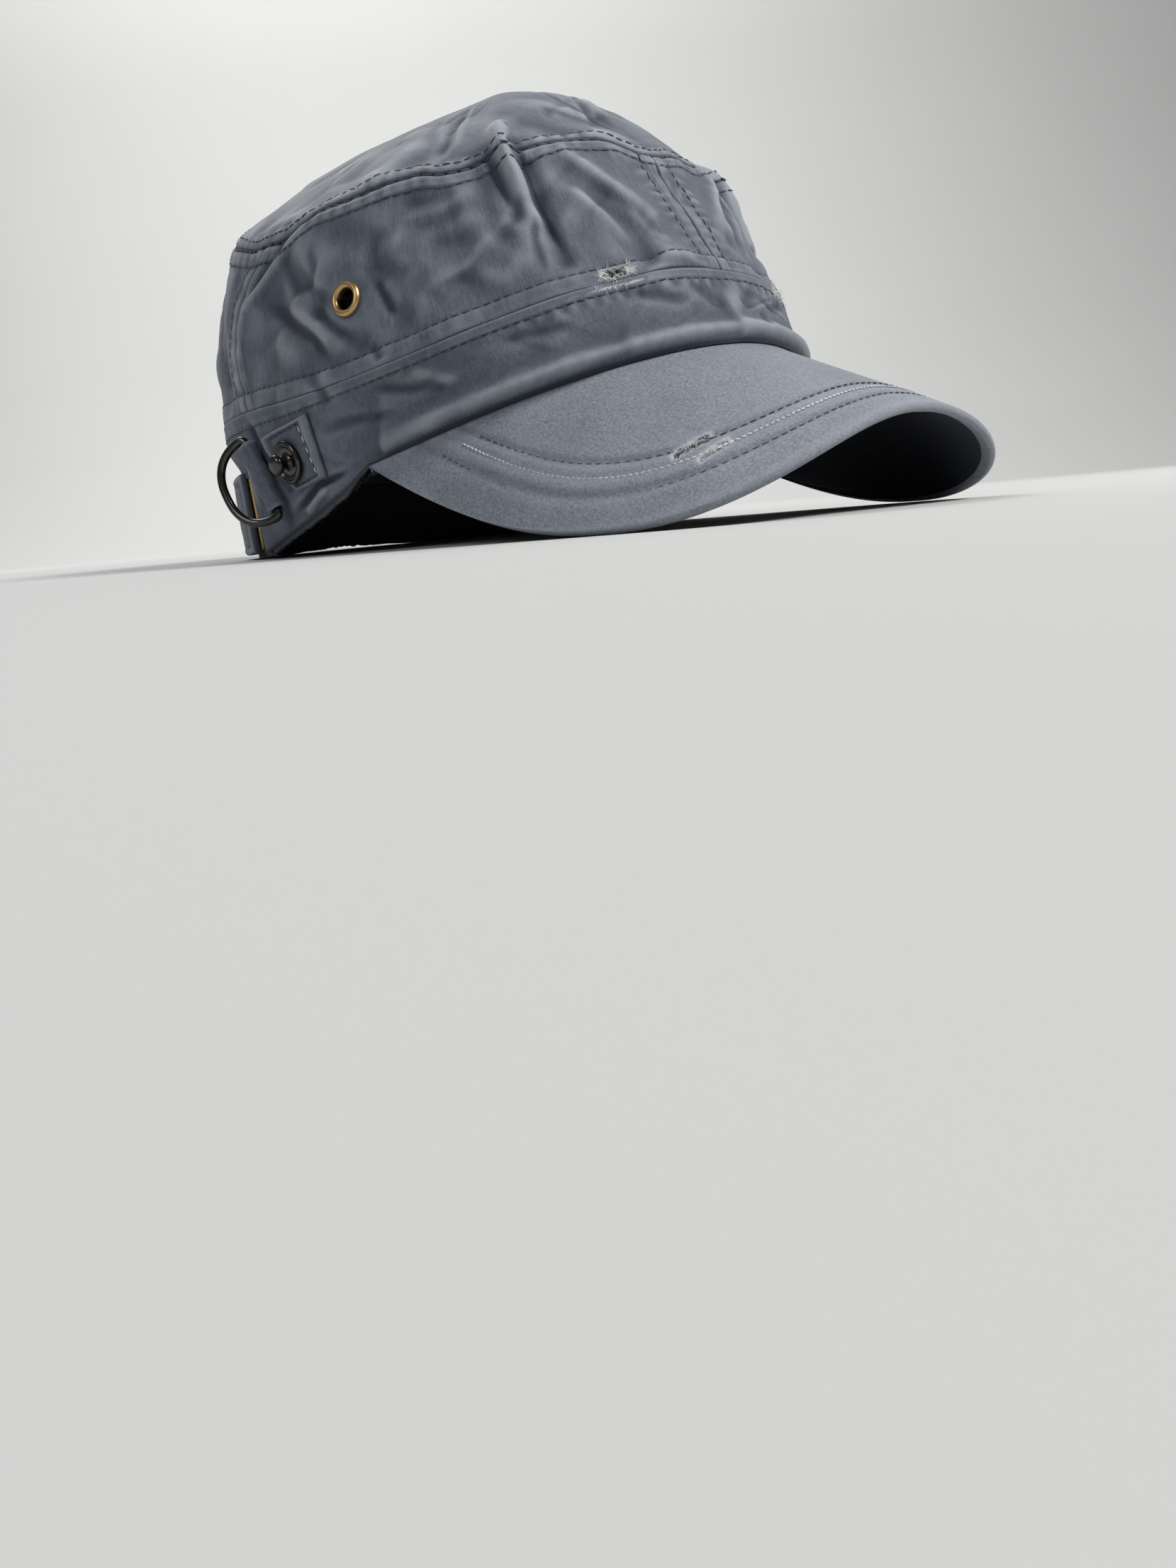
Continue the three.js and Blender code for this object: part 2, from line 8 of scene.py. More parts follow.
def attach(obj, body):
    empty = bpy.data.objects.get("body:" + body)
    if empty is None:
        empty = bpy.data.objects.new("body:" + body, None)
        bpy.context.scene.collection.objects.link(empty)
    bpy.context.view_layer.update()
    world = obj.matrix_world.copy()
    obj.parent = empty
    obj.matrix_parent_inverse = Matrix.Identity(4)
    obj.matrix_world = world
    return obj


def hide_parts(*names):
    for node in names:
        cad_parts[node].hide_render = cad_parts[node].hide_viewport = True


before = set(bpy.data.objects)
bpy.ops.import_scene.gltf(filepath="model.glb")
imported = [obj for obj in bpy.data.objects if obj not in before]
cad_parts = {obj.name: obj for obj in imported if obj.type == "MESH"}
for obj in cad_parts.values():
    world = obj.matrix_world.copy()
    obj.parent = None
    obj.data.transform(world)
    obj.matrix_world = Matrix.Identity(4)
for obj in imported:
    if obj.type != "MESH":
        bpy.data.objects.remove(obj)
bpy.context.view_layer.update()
mm = 0.001  # the cap's form is worked out in millimetres and scaled when a mesh is made

# The cap's form. Angles in degrees go round the cap, 0 at the front, minus on the wearer's
# right. Levels go up the cloth: 0 hem, 1 band line, 2 top seam, 3 middle of the top. The runs
# are mm of cloth in a degree, for the weave and the gathers.
capForm = {
    "shiftY": 22.5,
    "crownWall": 1.4,
    "bandWall": 1.8,
    "perDegree": 1.4,
    "perLevel": 48.0,
    "perTopLevel": 78.0,
    "seamGap": 0.12,
    "topRun": 1.25,
    "panelRun": 1.42,
    "bandRun": 1.45,
    "hem": {"front": 103.8, "back": 108.0, "side": 76.2, "power": 2.1, "centreY": 0.0},
    "line": {"front": 94.0, "back": 96.5, "side": 81.6, "power": 2.1, "centreY": 0.0},
    "mid": {"front": 82.6, "back": 92.0, "side": 77.6, "power": 2.2, "centreY": 2.0},
    "seam": {"front": 61.4, "back": 86.4, "side": 72.0, "power": 2.2, "centreY": -6.5},
    "lineHeight": {"front": 63.8, "side": 42.1, "back": 40.3},
    "seamHeight": {"mean": 96.0, "risePerMm": 0.04, "sway": 7.5},
    "midShare": 0.52,
    "top": {"rise": 39.0, "roundness": 1.52, "softness": 0.43, "forward": 7.5},
}
peakForm = {
    "corner": 74.6, "rootHeight": 43.8, "slope": math.tan(math.radians(24)), "arch": 76.9,
    "reach": 48.3, "halfWidth": 72.6, "power": 3.7, "lift": 1.2, "wall": 2.4, "flange": 1.5,
    "seat": 0.7, "overlap": 0.9,
}
hemForm = {"tableAngle": 118.0, "power": 1.7, "liftAngle": 152.0, "lift": 2.1}
strapForm = {
    "nearAngle": 111.5, "low": 0.035, "high": 0.62, "wall": 1.6, "stand": 0.8, "overSlide": 2.4,
    "bulge": 3.4, "bulgeAngle": 127.0, "bulgeWidth": 9.0, "roomStart": 105.0, "roomTop": 0.66,
}

# Folds on both sides: from A to B, half width and height in mm
folds = [
    {"a": (-34.5, 2.1), "b": (-31.5, 1.5), "width": 3.4, "height": 2.6},
    {"a": (-28.5, 1.85), "b": (-29, 1.2), "width": 2.6, "height": -1.7},
    {"a": (-40, 1.9), "b": (-37, 1.45), "width": 4, "height": -1.1},
    {"a": (-91, 1.57), "b": (-75, 1.11), "width": 4.5, "height": -1.5},
    {"a": (-75.5, 1.42), "b": (-68.5, 1.17), "width": 3.5, "height": -1.1},
    {"a": (-64, 1.5), "b": (-59, 1.2), "width": 4, "height": -1.1},
    {"a": (-84, 1.8), "b": (-68, 1.6), "width": 6, "height": 1.2},
    {"a": (-54, 1.85), "b": (-46, 1.4), "width": 6, "height": -1.3},
    {"a": (-18.5, 1.84), "b": (-9.5, 1.38), "width": 4, "height": 1.4},
    {"a": (-17, 1.6), "b": (-14.5, 1.12), "width": 4, "height": -1.2},
    {"a": (-122, 1.75), "b": (-110, 1.15), "width": 6, "height": -1.6},
    {"a": (-150, 1.5), "b": (-132, 1.2), "width": 8, "height": -1.5},
]

# Finer creases, as they lie on the right. The left repeats them, drawn in and drifting.
creaseForm = {"strength": 1.25, "leftScale": 0.94, "leftShift": 2.5, "leftDrift": 0.05, "calm": 4.0}
creases = [
    {"path": [(-37.6, 2.04), (-36, 1.84), (-34.4, 1.52)], "width": 1.3, "height": -0.7},
    {"path": [(-29.6, 2.04), (-29.8, 1.7), (-28.4, 1.2)], "width": 1.1, "height": -1.1},
    {"path": [(-33.8, 2.12), (-33, 1.9), (-31.8, 1.66)], "width": 2.5, "height": 1.2},
    {"path": [(-36.4, 2.13), (-31, 2.13)], "width": 1.2, "height": -0.4},
    {"path": [(-31, 1.5), (-33, 1.36), (-33.6, 1.12)], "width": 1.3, "height": -0.6},
    {"path": [(-83, 1.96), (-89, 1.83), (-94, 1.69), (-99, 1.56), (-100.5, 1.1)], "width": 1.6,
     "height": 1.0},
    {"path": [(-88, 1.95), (-94, 1.8), (-99, 1.66)], "width": 1.6, "height": -0.8},
    {"path": [(-93, 1.59), (-85.5, 1.42), (-79, 1.29), (-75, 1.12)], "width": 1.6, "height": -1.05},
    {"path": [(-88, 1.55), (-79, 1.38), (-73.5, 1.2)], "width": 2.1, "height": 0.6},
    {"path": [(-90, 1.38), (-82, 1.18)], "width": 3.4, "height": 0.5},
    {"path": [(-79, 1.45), (-75, 1.36), (-69, 1.18)], "width": 1.7, "height": -0.8},
    {"path": [(-64.8, 1.52), (-62.5, 1.38), (-60.4, 1.22)], "width": 1.4, "height": -0.8},
    {"path": [(-62, 1.48), (-59, 1.26)], "width": 2.2, "height": 0.35},
    {"path": [(-62, 1.78), (-64, 1.63), (-65, 1.48)], "width": 3.0, "height": -0.55},
    {"path": [(-64, 1.67), (-57, 1.62)], "width": 3.0, "height": 0.35},
    {"path": [(-58, 1.86), (-51, 1.81), (-43, 1.77)], "width": 2.6, "height": -0.5},
    {"path": [(-59, 1.79), (-47.5, 1.73), (-39, 1.79)], "width": 2.8, "height": 0.45},
    {"path": [(-58, 1.72), (-50, 1.65), (-43, 1.71)], "width": 2.6, "height": -0.5},
    {"path": [(-56, 1.65), (-47, 1.59), (-38, 1.61)], "width": 3.2, "height": 0.5},
    {"path": [(-54.5, 1.58), (-41.5, 1.47)], "width": 3.2, "height": -0.5},
    {"path": [(-47.5, 1.29), (-42.5, 1.39), (-38.5, 1.46)], "width": 3.4, "height": 0.55},
    {"path": [(-45.5, 1.27), (-40, 1.2), (-34, 1.3)], "width": 3.0, "height": 0.4},
    {"path": [(-37.8, 1.76), (-37, 1.52), (-34, 1.38)], "width": 2.4, "height": 0.6},
    {"path": [(-81, 1.79), (-76.5, 1.62)], "width": 2.3, "height": -0.45},
    {"path": [(-22, 1.94), (-14, 1.58), (-9, 1.16)], "width": 2.0, "height": 0.85},
    {"path": [(-18.5, 1.78), (-11.5, 1.4), (-9.5, 1.2)], "width": 2.0, "height": -1.1},
    {"path": [(-25, 1.7), (-18.5, 1.42), (-15, 1.12)], "width": 2.2, "height": 0.65},
    {"path": [(-60.5, 0.86), (-58, 0.67), (-53.5, 0.44)], "width": 2.4, "height": 0.4},
    {"path": [(-58.5, 0.7), (-57, 0.42)], "width": 1.9, "height": -0.4},
    {"path": [(-68.5, 0.84), (-63.5, 0.67), (-58, 0.54)], "width": 2.4, "height": -0.6},
    {"path": [(-80.5, 1.12), (-78, 0.98), (-77.5, 0.82)], "width": 1.6, "height": -0.6},
    {"path": [(-66.4, 1.16), (-64.6, 1.02)], "width": 1.4, "height": -0.5},
    {"path": [(-81.5, 0.64), (-65, 0.42)], "width": 2.8, "height": -0.6},
    {"path": [(-93, 0.1), (-85.5, 0.2), (-78, 0.11)], "width": 1.6, "height": -1.2},
    {"path": [(-90, 0.04), (-83.5, 0.12)], "width": 1.5, "height": 1.0},
    {"path": [(-100.5, 0.94), (-97.5, 0.58)], "width": 1.7, "height": -0.9},
    {"path": [(-104, 0.9), (-103.5, 0.26)], "width": 1.9, "height": 0.9},
    {"path": [(-46, 0.75), (-32, 0.61)], "width": 3.2, "height": -0.5},
    {"path": [(-22, 0.86), (-11, 0.58)], "width": 3.4, "height": -0.8},
    {"path": [(-8.5, 0.84), (-3.5, 0.46)], "width": 2.8, "height": -0.65},
]

# The top seam wanders up and down: level offset by angle
seamWander = [
    {"angle": -180, "offset": 0.0}, {"angle": -150, "offset": 0.02},
    {"angle": -128, "offset": -0.03}, {"angle": -112, "offset": -0.06},
    {"angle": -101, "offset": -0.1}, {"angle": -90, "offset": -0.1},
    {"angle": -85, "offset": -0.05}, {"angle": -80, "offset": 0.0},
    {"angle": -70, "offset": -0.01}, {"angle": -58, "offset": 0.0},
    {"angle": -53, "offset": 0.0}, {"angle": -48, "offset": -0.06},
    {"angle": -44, "offset": -0.08}, {"angle": -38, "offset": -0.05},
    {"angle": -29, "offset": -0.04}, {"angle": -24, "offset": -0.03},
    {"angle": -13, "offset": -0.01}, {"angle": -8, "offset": -0.05},
    {"angle": -2, "offset": -0.13}, {"angle": 3, "offset": -0.1},
    {"angle": 9, "offset": -0.04}, {"angle": 14, "offset": -0.08},
    {"angle": 22, "offset": 0.02}, {"angle": 38, "offset": -0.04},
    {"angle": 60, "offset": 0.03}, {"angle": 85, "offset": 0.0},
    {"angle": 110, "offset": -0.05}, {"angle": 150, "offset": 0.02},
    {"angle": 180, "offset": 0.0},
]
backSeam = [{"level": 1, "angle": 99.5}, {"level": 1.6, "angle": 103}, {"level": 2, "angle": 94}]

# How a seam lies, in mm: the cloth turns in at the seam line, and the folded edge below it
# makes a low step that ends at the row of stitches
seamForm = {
    "turnDepth": 0.95, "turnWidth": 0.5, "layer": 0.28, "stitchAt": 4.1, "groove": 0.3,
    "grooveWidth": 0.42,
}


def smooth(x):
    u = np.clip(x, 0, 1)
    return u * u * (3 - 2 * u)


def bell(x, width):
    return np.exp(-((x / width) ** 2))


def signedPower(x, power):
    return np.sign(x) * np.abs(x) ** power


def wrapped(angle):
    return (angle + 180) % 360 - 180


def lerp(a, b, share):
    return a + (b - a) * share


def unit(v):
    return v / np.maximum(np.linalg.norm(v, axis=-1, keepdims=True), 1e-9)


def ringPoint(shape, angle):
    c, s = np.cos(np.radians(angle)), np.sin(np.radians(angle))
    reach = np.where(c > 0, shape["front"], shape["back"])
    power = 2 / shape["power"]
    return shape["side"] * signedPower(s, power), shape["centreY"] - reach * signedPower(c, power)


def peakHeight(x, y):
    arch = peakForm["arch"]
    across = np.minimum(np.abs(x), arch * 0.98)
    drop = arch - np.sqrt(arch ** 2 - across ** 2)
    return peakForm["rootHeight"] - peakForm["slope"] * (-capForm["hem"]["front"] - y) - drop


def peakNormal(x):
    arch = peakForm["arch"]
    across = np.clip(x, -arch * 0.98, arch * 0.98)
    fall = across / np.sqrt(arch ** 2 - across ** 2)
    return unit(np.stack([fall, np.full_like(fall, -peakForm["slope"]), np.ones_like(fall)], -1))


def hemHeight(angle):
    turn = np.abs(wrapped(angle))
    corner = peakForm["corner"]
    onPeak = peakHeight(*ringPoint(capForm["hem"], np.minimum(turn, corner)))
    u = np.clip((turn - corner) / (hemForm["tableAngle"] - corner), 0, 1)
    lift = smooth((turn - hemForm["liftAngle"]) / (180 - hemForm["liftAngle"]))
    return np.where(turn <= corner, onPeak, onPeak * (1 - u) ** hemForm["power"] + hemForm["lift"] * lift)


def hemPoint(angle):
    x, y = ringPoint(capForm["hem"], angle)
    onPeak = smooth((peakForm["corner"] + 6 - np.abs(wrapped(angle))) / 6)
    return np.stack([x, y, hemHeight(angle) + peakForm["seat"] * onPeak], -1)


def linePoint(angle):
    x, y = ringPoint(capForm["line"], angle)
    c = np.cos(np.radians(angle))
    height = capForm["lineHeight"]
    end = np.where(c > 0, height["front"], height["back"])
    return np.stack([x, y, height["side"] + (end - height["side"]) * c * c], -1)


def seamPoint(angle):
    x, y = ringPoint(capForm["seam"], angle)
    height = capForm["seamHeight"]
    tilt = height["risePerMm"] * (y - capForm["seam"]["centreY"])
    return np.stack([x, y, height["mean"] + tilt + height["sway"] * np.cos(2 * np.radians(angle))], -1)


def midPoint(angle):
    x, y = ringPoint(capForm["mid"], angle)
    z = lerp(linePoint(angle)[..., 2], seamPoint(angle)[..., 2], capForm["midShare"])
    return np.stack([x, y, z], -1)


# The cap's smooth form
def bareSurface(angle, level):
    angle, level = np.broadcast_arrays(np.asarray(angle, float), np.asarray(level, float))
    line, seam = linePoint(angle), seamPoint(angle)
    l = level[..., None]
    u = np.clip(l, 1, 2) - 1
    wall = line * (2 * u - 1) * (u - 1) + midPoint(angle) * 4 * u * (1 - u) + seam * u * (2 * u - 1)
    top, middleY = capForm["top"], capForm["seam"]["centreY"]
    radius = np.clip(3 - level, 0, 1)
    soft = lambda r: (r * r + top["softness"] ** 2) ** (top["roundness"] / 2)
    rise = (soft(1) - soft(radius)) / soft(1)
    rimHeight = lerp(seamPoint(np.float64(0))[2], seam[..., 2], smooth(radius / 0.35))
    dome = np.stack([
        seam[..., 0] * radius,
        middleY + (seam[..., 1] - middleY) * radius - top["forward"] * (1 - radius ** 2),
        rimHeight * (1 - rise) + (capForm["seamHeight"]["mean"] + top["rise"]) * rise,
    ], -1)
    return np.where(l < 1, lerp(hemPoint(angle), line, l), np.where(l < 2, wall, dome))


# The crease at the top seam and the band line is rounded a little
def roundedSurface(angle, level):
    angle, level = np.broadcast_arrays(np.asarray(angle, float), np.asarray(level, float))
    reach = 0.045 * smooth(level / 0.1) * smooth((2.95 - level) / 0.1)
    sides = bareSurface(angle, level - reach) + bareSurface(angle, level + reach)
    return (sides + 2 * bareSurface(angle, level)) / 4


# Outward normal of the smooth form
def outward(angle, level):
    l = np.clip(level, 0.05, 2.9)
    around = bareSurface(angle + 1, l) - bareSurface(angle - 1, l)
    up = bareSurface(angle, l + 0.05) - bareSurface(angle, l - 0.05)
    normal = unit(np.cross(around, up))
    share = smooth((np.asarray(level) - 2.7) / 0.3)[..., None]
    return unit(lerp(normal, np.array([0, 0, 1.0]), share))


# A place that stands out from the smooth form by a height in mm
def standing(angle, level, height):
    return roundedSurface(angle, level) + outward(angle, level) * height[..., None]


# Distance in mm from a straight line on the cloth, and how far along it the nearest place lies
def crossDistance(angle, level, a, b):
    x, y = angle * capForm["perDegree"], level * capForm["perLevel"]
    ax, ay = a[0] * capForm["perDegree"], a[1] * capForm["perLevel"]
    dx, dy = b[0] * capForm["perDegree"] - ax, b[1] * capForm["perLevel"] - ay
    along = np.clip(((x - ax) * dx + (y - ay) * dy) / (dx * dx + dy * dy), 0, 1)
    return np.hypot(x - ax - along * dx, y - ay - along * dy), along


# The same for a line of several points
def pathDistance(angle, level, path):
    nearest, place = np.inf, 0.0
    for k, (a, b) in enumerate(zip(path, path[1:])):
        away, along = crossDistance(angle, level, a, b)
        place = np.where(away < nearest, (k + along) / (len(path) - 1), place)
        nearest = np.minimum(away, nearest)
    return nearest, place


eyeletForm = {"angle": -70.0, "level": 1.42, "hole": 2.7, "tube": 3.2, "rim": 4.6}


# Distance in mm from the edge of the eyelet
def eyeletDistance(angle, level):
    eye = (eyeletForm["angle"], eyeletForm["level"])
    away = crossDistance(-np.abs(wrapped(angle)), level, eye, (eye[0] + 0.01, eye[1]))[0]
    return away - eyeletForm["rim"]


def foldHeight(angle, level):
    side = -np.abs(wrapped(angle))
    height = np.zeros(np.broadcast(angle, level).shape)
    for fold in folds:
        away = crossDistance(side, level, fold["a"], fold["b"])[0]
        height += fold["height"] * bell(away, fold["width"])
    calm = 1 - bell(np.maximum(eyeletDistance(angle, level), 0), 5)
    return height * calm * (1 - smooth((level - 2.6) / 0.3))


def creaseHeight(angle, level):
    turn = wrapped(angle)
    onLeft = turn > 0
    side = np.where(onLeft, -(turn * creaseForm["leftScale"] + creaseForm["leftShift"]), turn)
    lifted = np.where(onLeft, level + creaseForm["leftDrift"] * np.sin(turn * 0.11), level)
    height = np.zeros(np.broadcast(angle, level).shape)
    for crease in creases:
        away, along = pathDistance(side, lifted, crease["path"])
        fade = smooth(along * 3 + 0.1) * smooth((1 - along) * 3 + 0.1)
        height += creaseForm["strength"] * crease["height"] * bell(away, crease["width"]) * fade
    nearEyelet = smooth(eyeletDistance(angle, level) / creaseForm["calm"])
    return height * nearEyelet * np.where(np.abs(turn) < 1.5, np.abs(turn) / 1.5, 1)


# Loose creases all round, each a groove with a low ridge beside it
looseForm = {"count": 130, "seed": 5, "length": (11, 30), "width": (1.0, 2.7), "height": (0.3, 0.75),
             "lean": 72, "quiet": 0.35}


def looseCreases():
    rng = np.random.default_rng(looseForm["seed"])
    made = []
    for k in range(looseForm["count"]):
        low, high = [(0.3, 0.7), (1.25, 1.75), (1.25, 1.75), (2.15, 2.5)][k % 4]
        angle, level = rng.uniform(-166, 166), rng.uniform(low, high)
        lean = math.radians(rng.uniform(-looseForm["lean"], looseForm["lean"]))
        half = rng.uniform(*looseForm["length"]) / 2
        width = rng.uniform(*looseForm["width"])
        height = -rng.uniform(*looseForm["height"]) * width / looseForm["width"][1]
        across = half * math.sin(lean) / capForm["perDegree"]
        up = half * math.cos(lean) / capForm["perLevel"]
        side = 2.1 * width * math.cos(lean) / capForm["perDegree"]
        if -104 < angle < -4 and low < 2:
            height *= looseForm["quiet"]
        for shift, share in ((0, 1.3), (side, -0.8)):
            made.append({"a": (angle - across + shift, level - up), "b": (angle + across + shift, level + up),
                         "width": width, "height": height * share})
    return made


def looseHeight(angle, level):
    turn = wrapped(angle)
    height = np.zeros(np.broadcast(angle, level).shape)
    for crease in looseCreases():
        away, along = crossDistance(turn, level, crease["a"], crease["b"])
        fade = smooth(along * 4 + 0.2) * smooth((1 - along) * 4 + 0.2)
        height += crease["height"] * bell(away, crease["width"]) * fade
    return height * (1 - smooth((level - 2.7) / 0.2))


# Smooth random field through space; cell is the size of its bumps in mm
def randomField(points, cell, seed):
    lattice = np.random.default_rng(seed).uniform(-1, 1, (24, 24, 24))
    scaled = points / cell
    low = np.floor(scaled).astype(int)
    part = smooth(scaled - low)
    total = 0
    for corner in np.ndindex(2, 2, 2):
        weight = np.prod(np.where(corner, part, 1 - part), axis=-1)
        x, y, z = ((low + corner) % 24).transpose(*[-1, *range(low.ndim - 1)])
        total = total + weight * lattice[x, y, z]
    return total


# Crumpled cloth: small flat facets, each tilted its own way, that meet in soft creases
facetForm = {"count": 420, "tilt": 0.036, "blend": 5.5, "seed": 17, "near": 34.0, "shown": 1.1,
             "swell": {"cell": 17, "height": 0.45}, "ripple": {"cell": 7.5, "height": 0.14}}


def facetSeeds():
    rng = np.random.default_rng(facetForm["seed"])
    angle = rng.uniform(-180, 180, facetForm["count"])
    level = rng.uniform(0, 1, facetForm["count"]) ** 0.8 * 2.9
    return bareSurface(angle, level), rng.normal(0, facetForm["tilt"], (facetForm["count"], 3))


def crumple(points, strength=1.0):
    angle = np.degrees(np.arctan2(points[..., 0], -points[..., 1]))
    shown = smooth((112 + angle) / 14) * smooth((6 - angle) / 14) * smooth((126 - points[..., 2]) / 18)
    strength = strength * (1 + facetForm["shown"] * shown)
    places, tilts = facetSeeds()
    flat = points.reshape(-1, 3)
    height = np.zeros(len(flat))
    batch = 1500
    for start in range(0, len(flat), batch):
        part = flat[start:start + batch]
        middle = part.mean(0)
        reach = np.linalg.norm(part - middle, axis=1).max() + facetForm["near"]
        near = np.linalg.norm(places - middle, axis=1) < reach
        away = part[:, None, :] - places[None, near]
        squared = (away ** 2).sum(-1)
        nearest = squared.min(1, keepdims=True)
        weight = np.exp((nearest - squared) / facetForm["blend"] ** 2)
        height[start:start + batch] = (weight * (away * tilts[near]).sum(-1)).sum(1) / weight.sum(1)
    height = height.reshape(points.shape[:-1])
    for seed, waves in ((3, facetForm["swell"]), (4, facetForm["ripple"])):
        height = height + waves["height"] * randomField(points, waves["cell"], seed)
    return strength * height


# Irregular gathers along a seam, about one in every pitch mm
def gathers(along, pitch, seed):
    steps = np.random.default_rng(seed).uniform(-1, 1, 97)
    drift = np.interp((along / 13) % 96, np.arange(97), steps)
    swell = np.interp((along / 7.3 + 31) % 96, np.arange(97), steps)
    return np.sin(2 * math.pi * along / pitch + 3.2 * drift) * (0.62 + 0.38 * swell)


def smoothWander():
    angles = np.arange(-180, 180.01, 0.5)
    offsets = np.interp(angles, [r["angle"] for r in seamWander], [r["offset"] for r in seamWander])
    kernel = np.hanning(15) / np.hanning(15).sum()
    return angles, np.convolve(np.concatenate([offsets[-8:-1], offsets, offsets[1:8]]), kernel, "valid")


wander = smoothWander()


def topSeamLevel(angle):
    return 2 + np.interp(wrapped(angle), *wander)


def backSeamAngle(level):
    places = [r["level"] for r in backSeam], [r["angle"] for r in backSeam]
    return sum(np.interp(level + shift, *places) for shift in (-0.12, -0.06, 0, 0.06, 0.12)) / 5


# 1 on the tuck over the seam, where the cloth lies in one thick roll, and 0 away from it
def tuckCover(angle, level):
    away = crossDistance(-np.abs(wrapped(angle)), level, folds[0]["a"], folds[0]["b"])[0]
    return bell(np.maximum(away - 2.6, 0), 1.6)


# A seam's relief in mm, away from its line and along it
def seamRelief(away, along, gather, pitch, seed, turn=1.0, stitchAt=seamForm["stitchAt"]):
    s = seamForm
    height = -turn * s["turnDepth"] * bell(away, s["turnWidth"])
    height += s["layer"] * smooth((stitchAt + 0.7 - away) / 0.8)
    height -= s["groove"] * bell(away - stitchAt, s["grooveWidth"])
    height += gather * gathers(along, pitch, seed) * bell(away - 0.6 * stitchAt, 0.5 * stitchAt)
    return height


bandSewing = {"lowerLevel": 0.885, "upperLevel": 1.1, "groove": 0.26, "layer": 0.2}
frontSewing = {"at": 4.4, "pucker": 0.3, "radius": 84, "widening": (0.94, 1.28)}


# Height of the crown's outer face over its smooth form: side walls and top
def crownRelief(angle, level):
    angle, level = np.broadcast_arrays(np.asarray(angle, float), np.asarray(level, float))
    turn = wrapped(angle)
    bare = bareSurface(angle, level)
    seam = topSeamLevel(angle)
    onTop = level > seam
    perLevel = np.where(level > 2, capForm["perTopLevel"], capForm["perLevel"])
    fromTop = np.abs(level - seam) * perLevel
    up = level * capForm["perLevel"]
    height = foldHeight(angle, level) + creaseHeight(angle, level) + looseHeight(angle, level)
    height += crumple(bare) * smooth(fromTop / 9 + 0.35)
    flatter = 1 - 0.7 * tuckCover(angle, level)
    height += flatter * seamRelief(fromTop, angle * capForm["topRun"], gather=0.2, pitch=5.2, seed=11)
    fromLine = np.abs(level - 1) * capForm["perLevel"]
    stitchAt = (bandSewing["upperLevel"] - 1) * capForm["perLevel"]
    around = angle * capForm["bandRun"]
    low = seamRelief(fromLine, around, gather=0.1, pitch=7.5, seed=12, turn=0.2, stitchAt=stitchAt)
    fromFront = np.abs(bare[..., 0])
    front = seamRelief(fromFront, up, gather=0.12, pitch=4.4, seed=13, turn=0.6, stitchAt=frontSewing["at"])
    front += frontSewing["pucker"] * gathers(up, 4.3, 15) * bell(fromFront - 7, 3)
    fromBack = np.abs(np.abs(turn) - backSeamAngle(np.clip(level, 1, 2))) * capForm["perDegree"]
    back = seamRelief(fromBack, up, gather=0.3, pitch=7, seed=14)
    nearFront = np.abs(turn) < 40
    height += np.where(onTop, 0, low + back + np.where(nearFront, front, 0))
    return height


def crownPoint(angle, level):
    return standing(angle, level, crownRelief(angle, level))


# Over the peak the band rolls outward
rollForm = {"level": 0.17, "width": 0.13, "height": 2.6, "endAngle": 78.0, "tuckIn": 0.9}


def rollHeight(angle, level):
    inFront = smooth((rollForm["endAngle"] - np.abs(wrapped(angle))) / 20)
    under = rollForm["tuckIn"] * bell(level, 0.035)
    return inFront * (rollForm["height"] * bell(level - rollForm["level"], rollForm["width"]) - under)


# How far the strap's inner face stands off the band
def strapStand(angle, level):
    turn = wrapped(angle)
    onSlide = smooth((132 - np.abs(turn)) / 8) * (turn < 0)
    low = np.clip(1 - (level - strapForm["low"]) / (strapForm["high"] - strapForm["low"]), 0, 1)
    bulge = strapForm["bulge"] * low * bell(turn + strapForm["bulgeAngle"], strapForm["bulgeWidth"])
    return lerp(strapForm["stand"], strapForm["overSlide"], onSlide) + bulge


# How far the band lies back, to make room for the strap
def strapRoom(angle, level):
    inside = smooth((np.abs(wrapped(angle)) - strapForm["roomStart"]) / 6)
    below = 1 - smooth((level - strapForm["roomTop"]) / 0.16)
    return inside * below * (strapForm["wall"] + strapStand(angle, level))


def bandRelief(angle, level):
    angle, level = np.broadcast_arrays(np.asarray(angle, float), np.asarray(level, float))
    fromTop = (1 - level) * capForm["perLevel"]
    fromHem = level * capForm["perLevel"]
    along = angle * capForm["bandRun"]
    height = foldHeight(angle, level) + creaseHeight(angle, level) + rollHeight(angle, level)
    height += 0.7 * looseHeight(angle, level)
    calm = smooth(fromHem / 5 + 0.2)
    height += crumple(bareSurface(angle, level), 0.5) * calm
    height += 0.2 * bell(fromTop - 0.5, 0.42) - 0.25 * bell(fromTop, 0.22)
    fromStitch = (bandSewing["lowerLevel"] - level) * capForm["perLevel"]
    height += bandSewing["layer"] * smooth((0.7 - fromStitch) / 0.8)
    height -= bandSewing["groove"] * bell(fromStitch, 0.5)
    height += 0.12 * gathers(along, 6.8, 21) * bell(fromStitch - 1, 4)
    inFront = smooth((42 - np.abs(wrapped(angle) + 8)) / 12)
    height += 0.2 * inFront * gathers(along, 4.4, 22) * bell(fromStitch - 3.0, 3.2)
    return height


def bandPoint(angle, level):
    return standing(angle, level, bandRelief(angle, level) - strapRoom(angle, level))


print("cap form ready")


# Meshes

